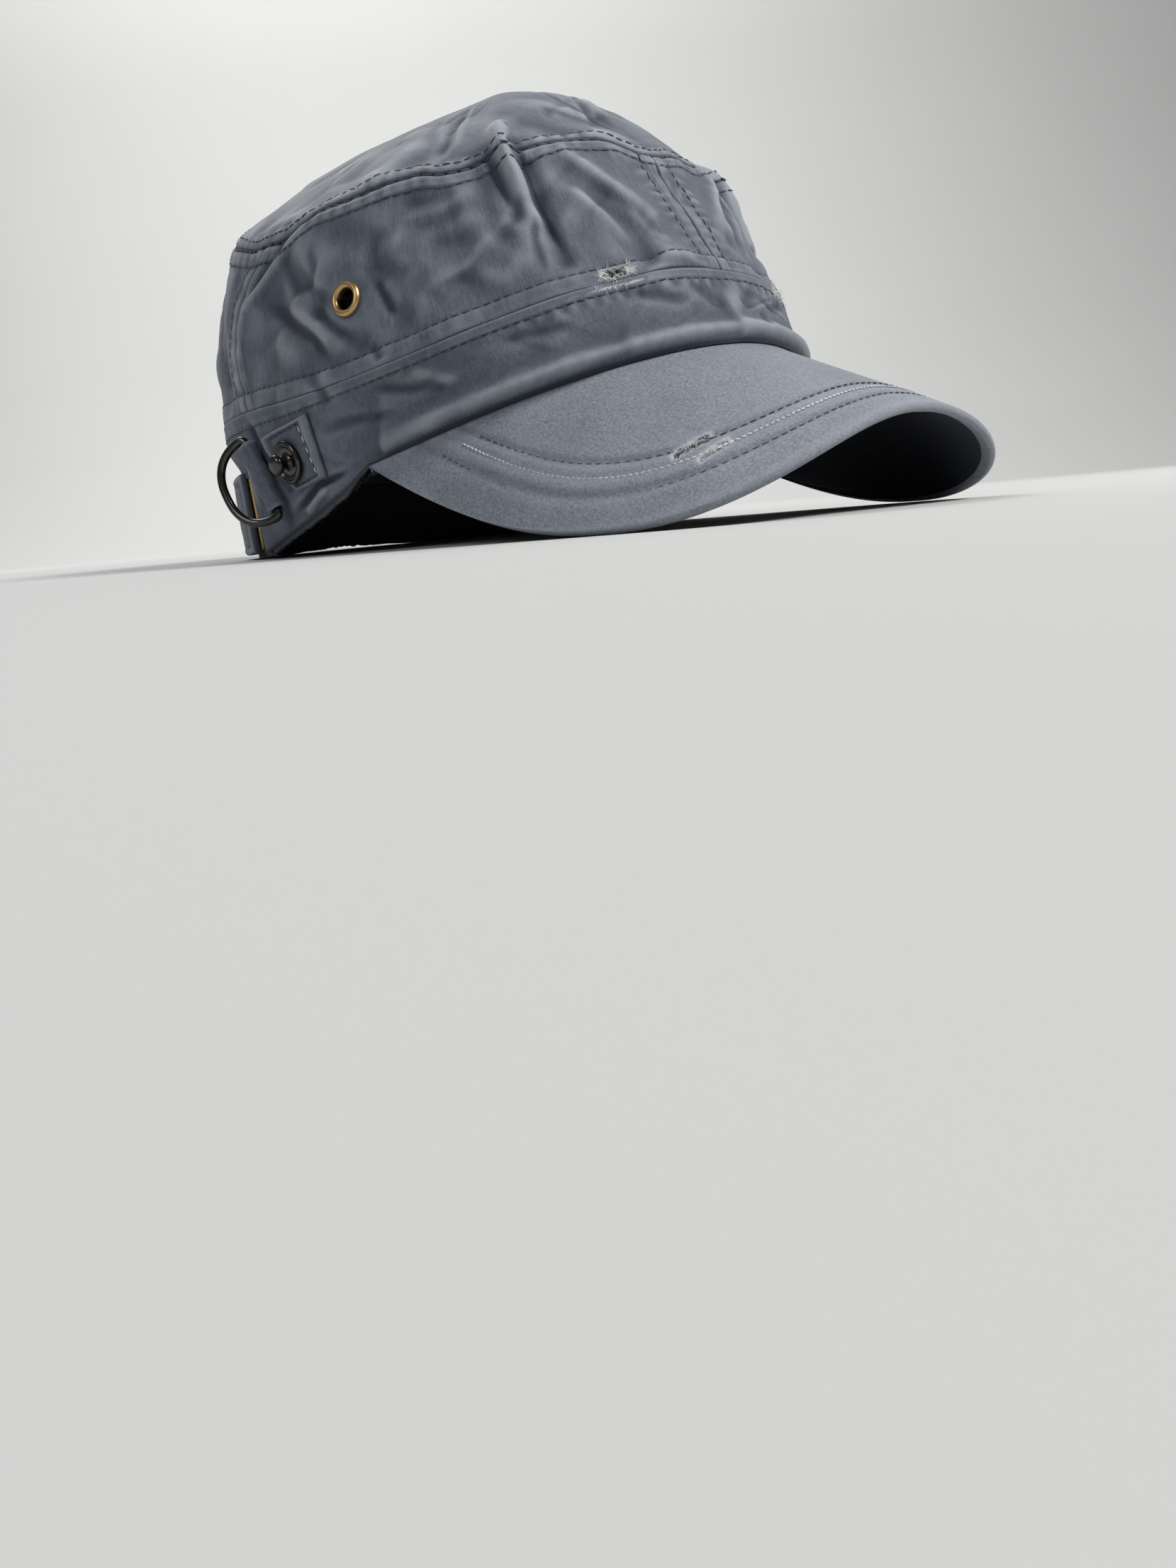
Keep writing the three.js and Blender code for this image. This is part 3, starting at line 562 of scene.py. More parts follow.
# A closed wall between an outer and an inner grid of points [round][up], which have the same
# columns. paint holds numbers for each outer point, kept as attributes for the finishes.
def wallMesh(name, outer, inner, uv, paint, closed=False, capped=False):
    columns, rows = outer.shape[:2]
    innerRows = inner.shape[1]
    outerIds = np.arange(columns * rows).reshape(columns, rows)
    innerIds = columns * rows + np.arange(columns * innerRows).reshape(columns, innerRows)
    innerUv = uv[:, np.linspace(0, rows - 1, innerRows).round().astype(int)]
    if closed:
        turn = (uv[-1:] - uv[-2:-1]) + uv[-1:]
        turnIn = (innerUv[-1:] - innerUv[-2:-1]) + innerUv[-1:]
        outerIds, innerIds = np.vstack([outerIds, outerIds[:1]]), np.vstack([innerIds, innerIds[:1]])
        uv, innerUv = np.concatenate([uv, turn]), np.concatenate([innerUv, turnIn])
    quads, quadUvs = [], []

    def addQuads(parts, partUvs):
        quads.append(np.stack([p.ravel() for p in parts], -1))
        quadUvs.append(np.stack([p.reshape(-1, 2) for p in partUvs], 1))

    def gridQuads(ids, places, flip):
        parts = [ids[:-1, :-1], ids[1:, :-1], ids[1:, 1:], ids[:-1, 1:]]
        spots = [places[:-1, :-1], places[1:, :-1], places[1:, 1:], places[:-1, 1:]]
        addQuads(parts[::-1] if flip else parts, spots[::-1] if flip else spots)

    gridQuads(outerIds, uv, False)
    gridQuads(innerIds, innerUv, True)
    edge = uv[:, 0]
    addQuads([innerIds[:-1, 0], innerIds[1:, 0], outerIds[1:, 0], outerIds[:-1, 0]],
             [edge[:-1], edge[1:], edge[1:], edge[:-1]])
    points = [outer.reshape(-1, 3), inner.reshape(-1, 3)]
    triangles = []
    if capped:
        tops = [outer[:, -1].mean(0), inner[:, -1].mean(0)]
        points.append(np.array(tops))
        tip = columns * (rows + innerRows)
        for i in range(len(outerIds) - 1):
            triangles.append((outerIds[i, -1], outerIds[i + 1, -1], tip))
            triangles.append((innerIds[i + 1, -1], innerIds[i, -1], tip + 1))
    else:
        edge = uv[:, -1]
        addQuads([outerIds[:-1, -1], outerIds[1:, -1], innerIds[1:, -1], innerIds[:-1, -1]],
                 [edge[:-1], edge[1:], edge[1:], edge[:-1]])
    if not closed:
        for column, flip in ((0, False), (-1, True)):
            left, right = innerIds[column], outerIds[column]
            i = j = 0
            while i < innerRows - 1 or j < rows - 1:
                behind = (j + 1) / (rows - 1) <= (i + 1) / (innerRows - 1)
                stepRight = j < rows - 1 and (i == innerRows - 1 or behind)
                third = right[j + 1] if stepRight else left[i + 1]
                triangle = (left[i], right[j], third)
                triangles.append(triangle[::-1] if flip else triangle)
                i, j = (i, j + 1) if stepRight else (i + 1, j)
    mesh = buildMesh(name, np.concatenate(points), np.concatenate(quads), np.concatenate(quadUvs), triangles)
    paintMesh(mesh, paint)
    return addObject(name, mesh)


# Keeps each row of numbers as an attribute of the first points, with 0 at the rest
def paintMesh(mesh, paint):
    for key, values in paint.items():
        full = np.zeros(len(mesh.vertices), np.float32)
        full[:values.size] = values.ravel()
        mesh.attributes.new(key, "FLOAT", "POINT").data.foreach_set("value", full)


# Faces of a tube from its rings of points
def tubeQuads(count, sides, closed):
    ids = np.arange(count * sides).reshape(count, sides)
    ring = np.concatenate([ids, ids[:, :1]], 1)
    if closed:
        ring = np.concatenate([ring, ring[:1]], 0)
    return np.stack([ring[:-1, :-1], ring[1:, :-1], ring[1:, 1:], ring[:-1, 1:]], -1).reshape(-1, 4)


def sideName(side):
    return "right" if side < 0 else "left"


def outwardNormals(piece):
    loose = bmesh.new()
    loose.from_mesh(piece.data)
    bmesh.ops.remove_doubles(loose, verts=loose.verts, dist=1e-7)
    bmesh.ops.recalc_face_normals(loose, faces=loose.faces)
    loose.to_mesh(piece.data)
    loose.free()
    piece.data.shade_smooth()


def buildMesh(name, points, quads, quadUvs=None, triangles=()):
    mesh = bpy.data.meshes.new(name)
    triangles = np.array(triangles, int).reshape(-1, 3)
    placed = (points + np.array([0, capForm["shiftY"], 0])) * mm
    mesh.vertices.add(len(points))
    mesh.vertices.foreach_set("co", placed.astype(np.float32).ravel())
    corners = np.concatenate([quads.ravel(), triangles.ravel()]).astype(np.int32)
    mesh.loops.add(len(corners))
    mesh.loops.foreach_set("vertex_index", corners)
    starts = np.concatenate([np.arange(len(quads)) * 4, len(quads) * 4 + np.arange(len(triangles)) * 3])
    mesh.polygons.add(len(starts))
    mesh.polygons.foreach_set("loop_start", starts.astype(np.int32))
    if quadUvs is not None:
        layer = mesh.uv_layers.new(name="cloth")
        spots = np.zeros((len(corners), 2), np.float32)
        spots[:quads.size] = quadUvs.reshape(-1, 2) / 100
        layer.data.foreach_set("uv", spots.ravel())
    mesh.update(calc_edges=True)
    mesh.validate()
    mesh.shade_smooth()
    return mesh


def addObject(name, mesh):
    thing = bpy.data.objects.new(name, mesh)
    bpy.context.scene.collection.objects.link(thing)
    return thing


def finishPiece(piece, material, body="cap", nodes=()):
    piece.data.materials.clear()
    piece.data.materials.append(material)
    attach(piece, body)
    if nodes:
        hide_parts(*nodes)
    return piece


# How much a point stands over its neighbours, for wear and a painted highlight on ridges and for dirt and
# painted shade in grooves
def standOut(height):
    rubbedAndShaded = 0
    for spread, weight in ((3, 1.8), (9, 0.6), (18, 0.22)):
        padded = np.pad(height, spread, mode="edge")
        across = padded[2 * spread:, spread:-spread] + padded[:-2 * spread, spread:-spread]
        upward = padded[spread:-spread, 2 * spread:] + padded[spread:-spread, :-2 * spread]
        rubbedAndShaded = rubbedAndShaded + weight * (height - (across + upward) / 4)
    return rubbedAndShaded


# Finishes

class Wire:  # a node's output that can stand in sums and products
    def __init__(self, finish, socket):
        self.finish, self.socket = finish, socket

    def calculate(self, operation, first, second=0.0):
        return self.finish.add("ShaderNodeMath", {"operation": operation}, {0: first, 1: second})

    def __add__(self, other):
        return self.calculate("ADD", self, other)

    def __sub__(self, other):
        return self.calculate("SUBTRACT", self, other)

    def __rsub__(self, other):
        return self.calculate("SUBTRACT", other, self)

    def __mul__(self, other):
        return self.calculate("MULTIPLY", self, other)

    __radd__, __rmul__ = __add__, __mul__

    def held(self, low=0.0, high=1.0):
        return self.calculate("MINIMUM", self.calculate("MAXIMUM", self, low), high)


class Finish:
    def __init__(self, name):
        self.material = bpy.data.materials.new(name)
        self.material.use_nodes = True
        self.tree = self.material.node_tree
        self.tree.nodes.clear()

    # Settings are set before the inputs, and stops fill a ramp
    def add(self, kind, settings=None, inputs=None, output=0):
        node = self.tree.nodes.new(kind)
        for key, value in (settings or {}).items():
            if key == "stops":
                for k, (position, colour) in enumerate(value):
                    stop = node.color_ramp.elements[k] if k < 2 else node.color_ramp.elements.new(position)
                    stop.position, stop.color = position, (*colour, 1)
            else:
                setattr(node, key, value)
        for key, value in (inputs or {}).items():
            if isinstance(value, Wire):
                self.tree.links.new(value.socket, node.inputs[key])
            else:
                node.inputs[key].default_value = value
        return Wire(self, node.outputs[output] if len(node.outputs) else None)

    def noise(self, place, scale, detail=3.0, roughness=0.55):
        return self.add("ShaderNodeTexNoise", {}, {
            "Vector": place, "Scale": scale, "Detail": detail, "Roughness": roughness})

    def stretched(self, place, scale):
        return self.add("ShaderNodeMapping", {"vector_type": "POINT"}, {"Vector": place, "Scale": scale})

    def mixed(self, share, first, second):
        return self.add("ShaderNodeMix", {"data_type": "RGBA"}, {0: share, 6: first, 7: second}, 2)

    def tinted(self, colour, tone):
        return self.add("ShaderNodeVectorMath", {"operation": "SCALE"}, {0: colour, 3: tone})

    def attribute(self, name):
        return self.add("ShaderNodeAttribute", {"attribute_name": name}, {}, "Fac")

    def surface(self, inputs):
        shader = self.add("ShaderNodeBsdfPrincipled", {}, inputs)
        self.add("ShaderNodeOutputMaterial", {}, {"Surface": shader})
        return self.material


clothLook = {
    "crown": {"base": (0.099, 0.112, 0.142), "light": (0.26, 0.28, 0.32), "dark": (0.036, 0.045, 0.064),
              "streak": 1.7, "grain": 0.5, "mottle": 0.7, "wearAndPaintedLight": 0.8, "weave": 0.5, "sheen": 0.15},
    "band": {"base": (0.092, 0.105, 0.134), "light": (0.26, 0.28, 0.32), "dark": (0.032, 0.04, 0.058),
             "streak": 1.7, "grain": 0.5, "mottle": 0.7, "wearAndPaintedLight": 0.8, "weave": 0.5, "sheen": 0.14},
    "peak": {"base": (0.2, 0.217, 0.256), "light": (0.3, 0.32, 0.36), "dark": (0.06, 0.072, 0.1),
             "streak": 0.5, "grain": 1.6, "mottle": 0.5, "wearAndPaintedLight": 0.6, "weave": 0.35, "sheen": 0.2},
    # The peak's underside, painted far darker than its top: painted shade
    "under": {"base": (0.014, 0.018, 0.03), "light": (0.05, 0.058, 0.075), "dark": (0.008, 0.01, 0.016),
              "streak": 0.2, "grain": 0.4, "mottle": 0.3, "wearAndPaintedLight": 0.4, "weave": 0.4, "sheen": 0.05},
    "sweat": {"base": (0.05, 0.057, 0.072), "light": (0.14, 0.15, 0.165), "dark": (0.02, 0.024, 0.032),
              "streak": 0.3, "grain": 0.4, "mottle": 0.3, "wearAndPaintedLight": 0.7, "weave": 0.7, "sheen": 0.1},
}
threadPale = (0.5, 0.52, 0.55, 1)


def clothFinish(name, look):
    f = Finish(name)
    flat = f.add("ShaderNodeUVMap", {"uv_map": "cloth"})
    space = f.add("ShaderNodeTexCoord", {}, {}, "Object")
    mottle = f.noise(space, 38, 4)
    streak = f.noise(f.stretched(flat, (95, 13, 1)), 1, 3, 0.6)
    thread = f.noise(f.stretched(flat, (260, 42, 1)), 1, 2, 0.6)
    grain = f.noise(space, 1500, 2, 0.7)
    heather = streak * 0.5 + thread * 0.5 - 0.5
    tone = 1 + look["mottle"] * (mottle - 0.5) + look["streak"] * heather + look["grain"] * (grain - 0.5)
    colour = f.tinted((*look["base"],), tone)
    wearAndPaintedLight = f.attribute("wearAndPaintedLight")
    scuff = f.noise(space, 260, 4, 0.65)
    # Positive paint mixes towards the light colour as wear and painted highlight; negative paint mixes
    # towards the dark colour as dirt and painted shade
    wornAndLit = (wearAndPaintedLight * look["wearAndPaintedLight"] * (scuff * 1.2 + 0.4)).held()
    soiledAndShaded = (wearAndPaintedLight * -0.9).held()
    colour = f.mixed(wornAndLit, colour, (*look["light"], 1))
    colour = f.mixed(soiledAndShaded, colour, (*look["dark"], 1))
    colour = f.mixed((f.attribute("pale") * (scuff * 1.5 + 0.25)).held(), colour, threadPale)
    # Tears are painted near-black inside: painted shade of the opening
    colour = f.mixed(f.attribute("hole").held(), colour, (0.004, 0.005, 0.008, 1))
    across = f.add("ShaderNodeTexWave", {"wave_type": "BANDS", "bands_direction": "X"},
                   {"Vector": flat, "Scale": 38.0, "Distortion": 0.6, "Detail": 1.0})
    upward = f.add("ShaderNodeTexWave", {"wave_type": "BANDS", "bands_direction": "Y"},
                   {"Vector": flat, "Scale": 38.0, "Distortion": 0.6, "Detail": 1.0})
    weave = across * upward * look["weave"] + grain * 0.6
    bump = f.add("ShaderNodeBump", {}, {"Height": weave, "Strength": 0.5, "Distance": 0.00012})
    return f.surface({
        "Base Color": colour, "Roughness": mottle * 0.14 + 0.68, "Specular IOR Level": 0.32,
        "Sheen Weight": look["sheen"], "Sheen Roughness": 0.42, "Normal": bump,
    })


metalLook = {
    "gunmetal": {"base": (0.075, 0.071, 0.067), "dark": (0.03, 0.029, 0.028), "rough": 0.08},
    "brass": {"base": (0.55, 0.36, 0.17), "dark": (0.16, 0.095, 0.045), "rough": 0.3},
}


def metalFinish(name, look):
    f = Finish(name)
    space = f.add("ShaderNodeTexCoord", {}, {}, "Object")
    cloud = f.noise(space, 230, 4, 0.6)
    scratch = f.noise(f.stretched(space, (900, 3500, 900)), 1, 2)
    tarnish = ((cloud - 0.5) * 2.2).held(0.0, 0.6)
    colour = f.mixed(tarnish, (*look["base"], 1), (*look["dark"], 1))
    # Parts sunk below the cloth are painted near-black: painted shade inside the eyelet
    colour = f.mixed(f.attribute("hole").held(), colour, (0.006, 0.005, 0.004, 1))
    bump = f.add("ShaderNodeBump", {}, {"Height": scratch + cloud, "Strength": 0.12, "Distance": 0.00005})
    return f.surface({
        "Base Color": colour, "Metallic": 1.0, "Roughness": cloud * 0.12 + look["rough"], "Normal": bump,
    })


def threadFinish(name, colour, other):
    f = Finish(name)
    space = f.add("ShaderNodeTexCoord", {}, {}, "Object")
    mixed = f.mixed(((f.noise(space, 90, 3) - 0.42) * 5).held(), (*colour, 1), (*other, 1))
    ply = f.noise(space, 5200, 2)
    bump = f.add("ShaderNodeBump", {}, {"Height": ply, "Strength": 0.4, "Distance": 0.00005})
    return f.surface({"Base Color": mixed, "Roughness": 0.75, "Sheen Weight": 0.2, "Normal": bump})


finishes = {
    "crown": clothFinish("crownCloth", clothLook["crown"]),
    "band": clothFinish("bandCloth", clothLook["band"]),
    "peak": clothFinish("peakCloth", clothLook["peak"]),
    "under": clothFinish("peakUndersideShaded", clothLook["under"]),
    "sweat": clothFinish("sweatCloth", clothLook["sweat"]),
    "gunmetal": metalFinish("gunmetalPlate", metalLook["gunmetal"]),
    "brass": metalFinish("antiqueBrass", metalLook["brass"]),
    "darkThread": threadFinish("darkThread", (0.018, 0.022, 0.034), (0.05, 0.06, 0.08)),
    "slateThread": threadFinish("slateThread", (0.09, 0.105, 0.135), (0.2, 0.22, 0.26)),
    "paleThread": threadFinish("paleThread", (0.42, 0.44, 0.48), (0.66, 0.68, 0.7)),
    "tornThread": threadFinish("tornThread", (0.62, 0.63, 0.64), (0.85, 0.85, 0.84)),
}
print("finishes ready")

# Tears: middle, half length and half width of the torn patch in mm, on the cloth
bandTears = [
    {"angle": -22.0, "level": 1.06, "half": (3.6, 1.1), "deep": 1.0, "hole": 1.0, "pale": 0.7},
    {"angle": -23.4, "level": 0.945, "half": (4.4, 0.35), "deep": 0.3, "hole": 0.25, "pale": 0.7},
    {"angle": 19.5, "level": 0.93, "half": (3.2, 2.2), "deep": 0.5, "hole": 0.2, "pale": 1.4},
]


def tearPaint(angle, level):
    hole, pale, dent = 0, 0, 0
    for k, tear in enumerate(bandTears):
        x = (wrapped(angle) - tear["angle"]) * capForm["perDegree"]
        y = (level - tear["level"]) * capForm["perLevel"]
        bare = np.stack([x, y, 0 * x], -1)
        ragged = 1 + 0.35 * randomField(bare, 1.6, 40 + k) + 0.25 * randomField(bare, 0.7, 50 + k)
        away = np.hypot(x / tear["half"][0], y / tear["half"][1]) / ragged
        inside = smooth((1.15 - away) / 0.35)
        # The torn middle is painted near-black: painted shade of the opening
        hole = np.maximum(hole, inside * tear["hole"])
        dent = dent + inside * tear["deep"]
        reach = np.maximum(away - 1, 0) * min(tear["half"])
        pale = np.maximum(pale, bell(reach, tear["pale"] * 0.45) * (1 - inside * (tear["hole"] > 0)))
    return hole, pale, dent


# Painted shade that darkens the top seam and the rows of stitches beside it
def seamShade(angle, level):
    seam = topSeamLevel(angle)
    away = np.abs(level - seam) * np.where(level > 2, capForm["perTopLevel"], capForm["perLevel"])
    return 1.3 * bell(away, 0.55) + 0.5 * bell(away - seamForm["stitchAt"], 0.35)


# Heights of the inner face at a few rows, a wall below the deepest crease near each row
def innerHeights(relief, few, wall):
    spans = zip(np.concatenate([few[:1], few[:-1]]), np.concatenate([few[1:], few[-1:]]))
    return np.stack([relief[:, low:high + 1].min(1) - wall for low, high in spans], 1)


# A grid of angles and levels all round the cap
def fullGrid(columns, rows, levels):
    angle = np.linspace(-180, 180, columns, endpoint=False)[:, None] + np.zeros(rows)
    return angle, levels[None, :] + np.zeros((columns, 1))


def clothUv(angle, level, run):
    return np.stack([angle * run, level * capForm["perLevel"]], -1)


# Crown: side panels, back panel and top
def panelGrid(name, columns, rows, startAngle, endAngle, nodes):
    share, rise = np.meshgrid(np.linspace(0, 1, columns), np.linspace(0, 1, rows), indexing="ij")
    level = 1 + rise
    edge = capForm["seamGap"] / capForm["perLevel"]
    for again in range(3):
        angle = lerp(startAngle(level), endAngle(level), share)
        level = lerp(1 + edge, topSeamLevel(angle) - edge, rise)
    hole, pale, dent = tearPaint(angle, level)
    relief = crownRelief(angle, level)
    outer = standing(angle, level, relief - dent)
    few = np.linspace(0, rows - 1, 16).round().astype(int)
    inner = standing(angle[:, few], level[:, few], innerHeights(relief - dent, few, capForm["crownWall"]))
    fromLine = (level - 1) * capForm["perLevel"]
    # Wear and painted highlight on ridges and at the band line, painted shade in grooves and along the top
    # seam
    wearAndPaintedLight = standOut(relief) + 0.25 * bell(fromLine, 0.5) - seamShade(angle, level)
    uv = clothUv(angle, level, capForm["panelRun"])
    piece = wallMesh(name, outer, inner, uv, {"wearAndPaintedLight": wearAndPaintedLight, "pale": pale, "hole": hole})
    return finishPiece(piece, finishes["crown"], nodes=nodes)


halfGap = capForm["seamGap"] / capForm["perDegree"]
rightPanel = panelGrid("side_panel_cloth_right", 400, 124, lambda l: -backSeamAngle(l) + halfGap,
                       lambda l: -halfGap + 0 * l, ["side_panel_right"])
leftPanel = panelGrid("side_panel_cloth_left", 340, 104, lambda l: halfGap + 0 * l,
                      lambda l: backSeamAngle(l) - halfGap, ["side_panel_left"])
panelGrid("back_panel_cloth", 300, 90, lambda l: backSeamAngle(l) + halfGap,
          lambda l: 360 - backSeamAngle(l) - halfGap, ["back_panel"])


def crownTop():
    columns, rows = 560, 84
    angle, rise = fullGrid(columns, rows, np.linspace(0, 1, rows) ** 0.92)
    start = topSeamLevel(angle) + capForm["seamGap"] / capForm["perTopLevel"]
    level = lerp(start, 2.985, rise)
    relief = crownRelief(angle, level)
    outer = standing(angle, level, relief)
    few = np.linspace(0, rows - 1, 14).round().astype(int)
    inner = standing(angle[:, few], level[:, few], innerHeights(relief, few, capForm["crownWall"]))
    # Wear and painted highlight on ridges, painted shade in grooves and along the top seam
    wearAndPaintedLight = standOut(relief) - seamShade(angle, level)
    uv = roundedSurface(angle, level)[..., :2]
    paint = {"wearAndPaintedLight": wearAndPaintedLight, "pale": 0 * wearAndPaintedLight, "hole": 0 * wearAndPaintedLight}
    piece = wallMesh("crown_top_cloth", outer, inner, uv, paint, closed=True, capped=True)
    return finishPiece(piece, finishes["crown"], nodes=["crown_top"])


crownTop()
print("crown made")


# Band and sweatband
def bandPiece():
    columns, rows = 860, 72
    angle, level = fullGrid(columns, rows, np.linspace(0, 1 - capForm["seamGap"] / capForm["perLevel"], rows))
    hole, pale, dent = tearPaint(angle, level)
    least = foldHeight(angle, level) + rollHeight(angle, level) - capForm["bandWall"] + 0.7
    relief = np.maximum(bandRelief(angle, level), least)
    outer = standing(angle, level, relief - dent - strapRoom(angle, level))
    few = np.linspace(0, rows - 1, 10).round().astype(int)
    a, l = angle[:, few], level[:, few]
    inner = standing(a, l, foldHeight(a, l) + rollHeight(a, l) - strapRoom(a, l) - capForm["bandWall"])
    floorLine = hemPoint(angle[:, 0])[:, 2]
    outer[:, 0, 2] = inner[:, 0, 2] = floorLine
    outer[..., 2] = np.maximum(outer[..., 2], floorLine[:, None])
    # Wear and painted highlight on ridges and on the band's folded top edge, with painted shade in grooves
    wearAndPaintedLight = standOut(relief) + 0.75 * bell((1 - level) * capForm["perLevel"] - 0.35, 0.38)
    # Painted shade on the lowest mm of the band over the peak, under its roll
    overPeak = smooth((peakForm["corner"] + 4 - np.abs(wrapped(angle))) / 10)
    wearAndPaintedLight -= 1.1 * overPeak * bell(level * capForm["perLevel"], 3.0)
    uv = clothUv(angle, level, capForm["bandRun"])
    piece = wallMesh("band_cloth", outer, inner, uv, {"wearAndPaintedLight": wearAndPaintedLight, "pale": pale, "hole": hole}, closed=True)
    return finishPiece(piece, finishes["band"], nodes=["band"])


sweatForm = {"top": 0.6, "wall": 1.2, "gap": 0.4}


def sweatPiece():
    columns, rows = 620, 26
    angle, level = fullGrid(columns, rows, np.linspace(0, sweatForm["top"], rows))
    out = -(capForm["bandWall"] + sweatForm["gap"])
    overPeak = smooth((peakForm["corner"] + 8 - np.abs(wrapped(angle[:, 0]))) / 6)
    ragged = 0.45 * randomField(bareSurface(angle[:, 0], 0 * angle[:, 0]), 1.1, 71)
    lowest = np.maximum(hemHeight(angle[:, 0]) + lerp(-1, 1, overPeak) + ragged, 0.5)

    def face(depth):
        points = standing(angle, level, foldHeight(angle, level) - strapRoom(angle, level) + depth)
        points[:, 0, 2] = lowest
        return points

    uv = clothUv(angle, level, capForm["bandRun"])
    wearAndPaintedLight = 1.4 * bell(level * capForm["perLevel"], 1.2) + 0 * angle
    paint = {"wearAndPaintedLight": wearAndPaintedLight, "pale": 0 * wearAndPaintedLight, "hole": 0 * wearAndPaintedLight}
    piece = wallMesh("sweatband_cloth", face(out), face(out - sweatForm["wall"]), uv, paint, closed=True)
    return finishPiece(piece, finishes["sweat"], nodes=["sweatband"])


bandPiece()
sweatPiece()
print("band made")


# Peak. An arc of stitches in plan is half an oval: half width, where it starts, depth, power.
peakArcs = [
    {"half": 64.2, "start": -50.0, "depth": 86.5, "power": 3.2, "groove": 0.3},
    {"half": 66.3, "start": -50.0, "depth": 89.8, "power": 3.2, "groove": 0.22},
    {"half": 68.8, "start": -50.0, "depth": 94.0, "power": 3.2, "groove": 0.3},
]
evenRow = {"thread": "darkThread", "pitch": 2.5, "length": 1.9, "width": 0.4, "uneven": 0.08}
wornRow = {"thread": "paleThread", "pitch": 1.5, "length": 1.3, "width": 0.5, "uneven": 0.45}
peakSewing = [evenRow, wornRow, evenRow]
peakTears = [
    {"a": (-53.2, -120.0), "b": (-47.2, -124.6), "width": 0.55, "deep": 1.0, "hole": 1.0},
    {"a": (-52.0, -126.4), "b": (-46.6, -129.6), "width": 0.45, "deep": 0.4, "hole": 0.5},
]


# Distance in mm outward from an arc of stitches
def arcDistance(arc, x, y):
    u = np.abs(x) / arc["half"]
    v = np.maximum(arc["start"] - y, 0.01) / arc["depth"]
    n = arc["power"]
    value = (u ** n + v ** n) ** (1 / n)
    slopeX = (u / value) ** (n - 1) / arc["half"]
    slopeY = (v / value) ** (n - 1) / arc["depth"]
    return (value - 1) / np.maximum(np.hypot(slopeX, slopeY), 1e-4)


def segmentDistance(x, y, a, b):
    dx, dy = b[0] - a[0], b[1] - a[1]
    along = np.clip(((x - a[0]) * dx + (y - a[1]) * dy) / (dx * dx + dy * dy), 0, 1)
    return np.hypot(x - a[0] - along * dx, y - a[1] - along * dy)


# The peak's outline in plan; share runs from -1 at the right corner to 1 at the left
def peakRim(share):
    cornerX, cornerY = ringPoint(capForm["hem"], peakForm["corner"])
    turn = np.radians(90 * share)
    forward = np.cos(turn) ** (2 / peakForm["power"])
    widen = np.clip(2.2 * np.cos(turn), 0, 1)
    half = lerp(cornerX, peakForm["halfWidth"], widen)
    depth = capForm["hem"]["front"] + peakForm["reach"] + cornerY
    return half * signedPower(np.sin(turn), 2 / peakForm["power"]), cornerY - depth * forward


def peakPlan(share, row):
    rootX, rootY = ringPoint(capForm["hem"], share * peakForm["corner"])
    rimX, rimY = peakRim(share)
    return lerp(rootX, rimX, row), lerp(rootY, rimY, row)


def peakPaint(x, y):
    hole, pale, dent = 0, 0, 0
    flat = np.stack([x, y, 0 * x], -1)
    for k, tear in enumerate(peakTears):
        away = segmentDistance(x, y, tear["a"], tear["b"])
        ragged = 1 + 0.4 * randomField(flat, 1.3, 60 + k) + 0.3 * randomField(flat, 0.6, 65 + k)
        inside = smooth((tear["width"] * ragged - away) / 0.5 + 0.5)
        # The torn middle is painted near-black: painted shade of the opening
        hole = np.maximum(hole, inside * tear["hole"])
        dent = dent + inside * tear["deep"]
        pale = np.maximum(pale, bell(np.maximum(away - tear["width"], 0), 0.7) * (1 - inside * tear["hole"]))
    return hole, pale, dent


def peakRelief(x, y):
    height = 0.12 * randomField(np.stack([x, y, 0 * x], -1), 16, 31)
    for arc in peakArcs:
        height = height - arc["groove"] * bell(arcDistance(arc, x, y), 0.8)
    between = arcDistance(peakArcs[1], x, y)
    return height + 0.16 * bell(between, 3.4)


def peakTop(share, row, out):
    x, y = peakPlan(share, row)
    normal = peakNormal(x)
    point = np.stack([x, y, peakHeight(x, y)], -1)
    point = point + normal * (peakForm["lift"] * row + out)[..., None]
    return point, normal


peakRows = {"top": 78, "edge": 9, "under": 30}


# Rows of points from the root over the top, round the edge and back below
def peakSections(share):
    halfWall = peakForm["wall"] / 2
    rimX, rimY = peakRim(share)
    rootX, rootY = ringPoint(capForm["hem"], share * peakForm["corner"])
    length = np.maximum(np.hypot(rimX - rootX, rimY - rootY), 1e-3)
    inset = 1 - np.minimum(halfWall / length, 0.5)
    inward = 1 - peakForm["flange"] / np.hypot(rootX, rootY)
    flangeX, flangeY = rootX * inward, rootY * inward
    flangeZ = hemHeight(share * peakForm["corner"])

    def rootEnd(down):
        return np.stack([flangeX, flangeY, flangeZ - down], -1)

    rows = [rootEnd(-peakForm["overlap"])]
    for r in np.linspace(0, 1, peakRows["top"]):
        x, y = peakPlan(share, inset * r)
        height = peakRelief(x, y) * smooth((1 - r) * 14) - peakPaint(x, y)[2]
        rows.append(peakTop(share, inset * r, height)[0])
    centre, normal = peakTop(share, inset, 0 * share - halfWall)
    ahead = np.stack([rimX - rootX, rimY - rootY, 0 * rimX], -1)
    ahead = unit(ahead - normal * (ahead * normal).sum(-1)[:, None])
    for turn in np.linspace(90, -90, peakRows["edge"] + 2)[1:-1]:
        c, s = math.cos(math.radians(turn)), math.sin(math.radians(turn))
        rows.append(centre + ahead * halfWall * c * (length[:, None] > 3 * halfWall) + normal * halfWall * s)
    for r in np.linspace(1, 0, peakRows["under"]):
        ridge = 0.3 * bell((1 - r) * length - 3.2, 0.9) * (length > 8)
        rows.append(peakTop(share, inset * r, 0 * share - peakForm["wall"] + ridge)[0])
    rows.append(rootEnd(peakForm["wall"]))
    points = np.stack(rows, 1)
    points[..., 2] = np.maximum(points[..., 2], 0)
    return points


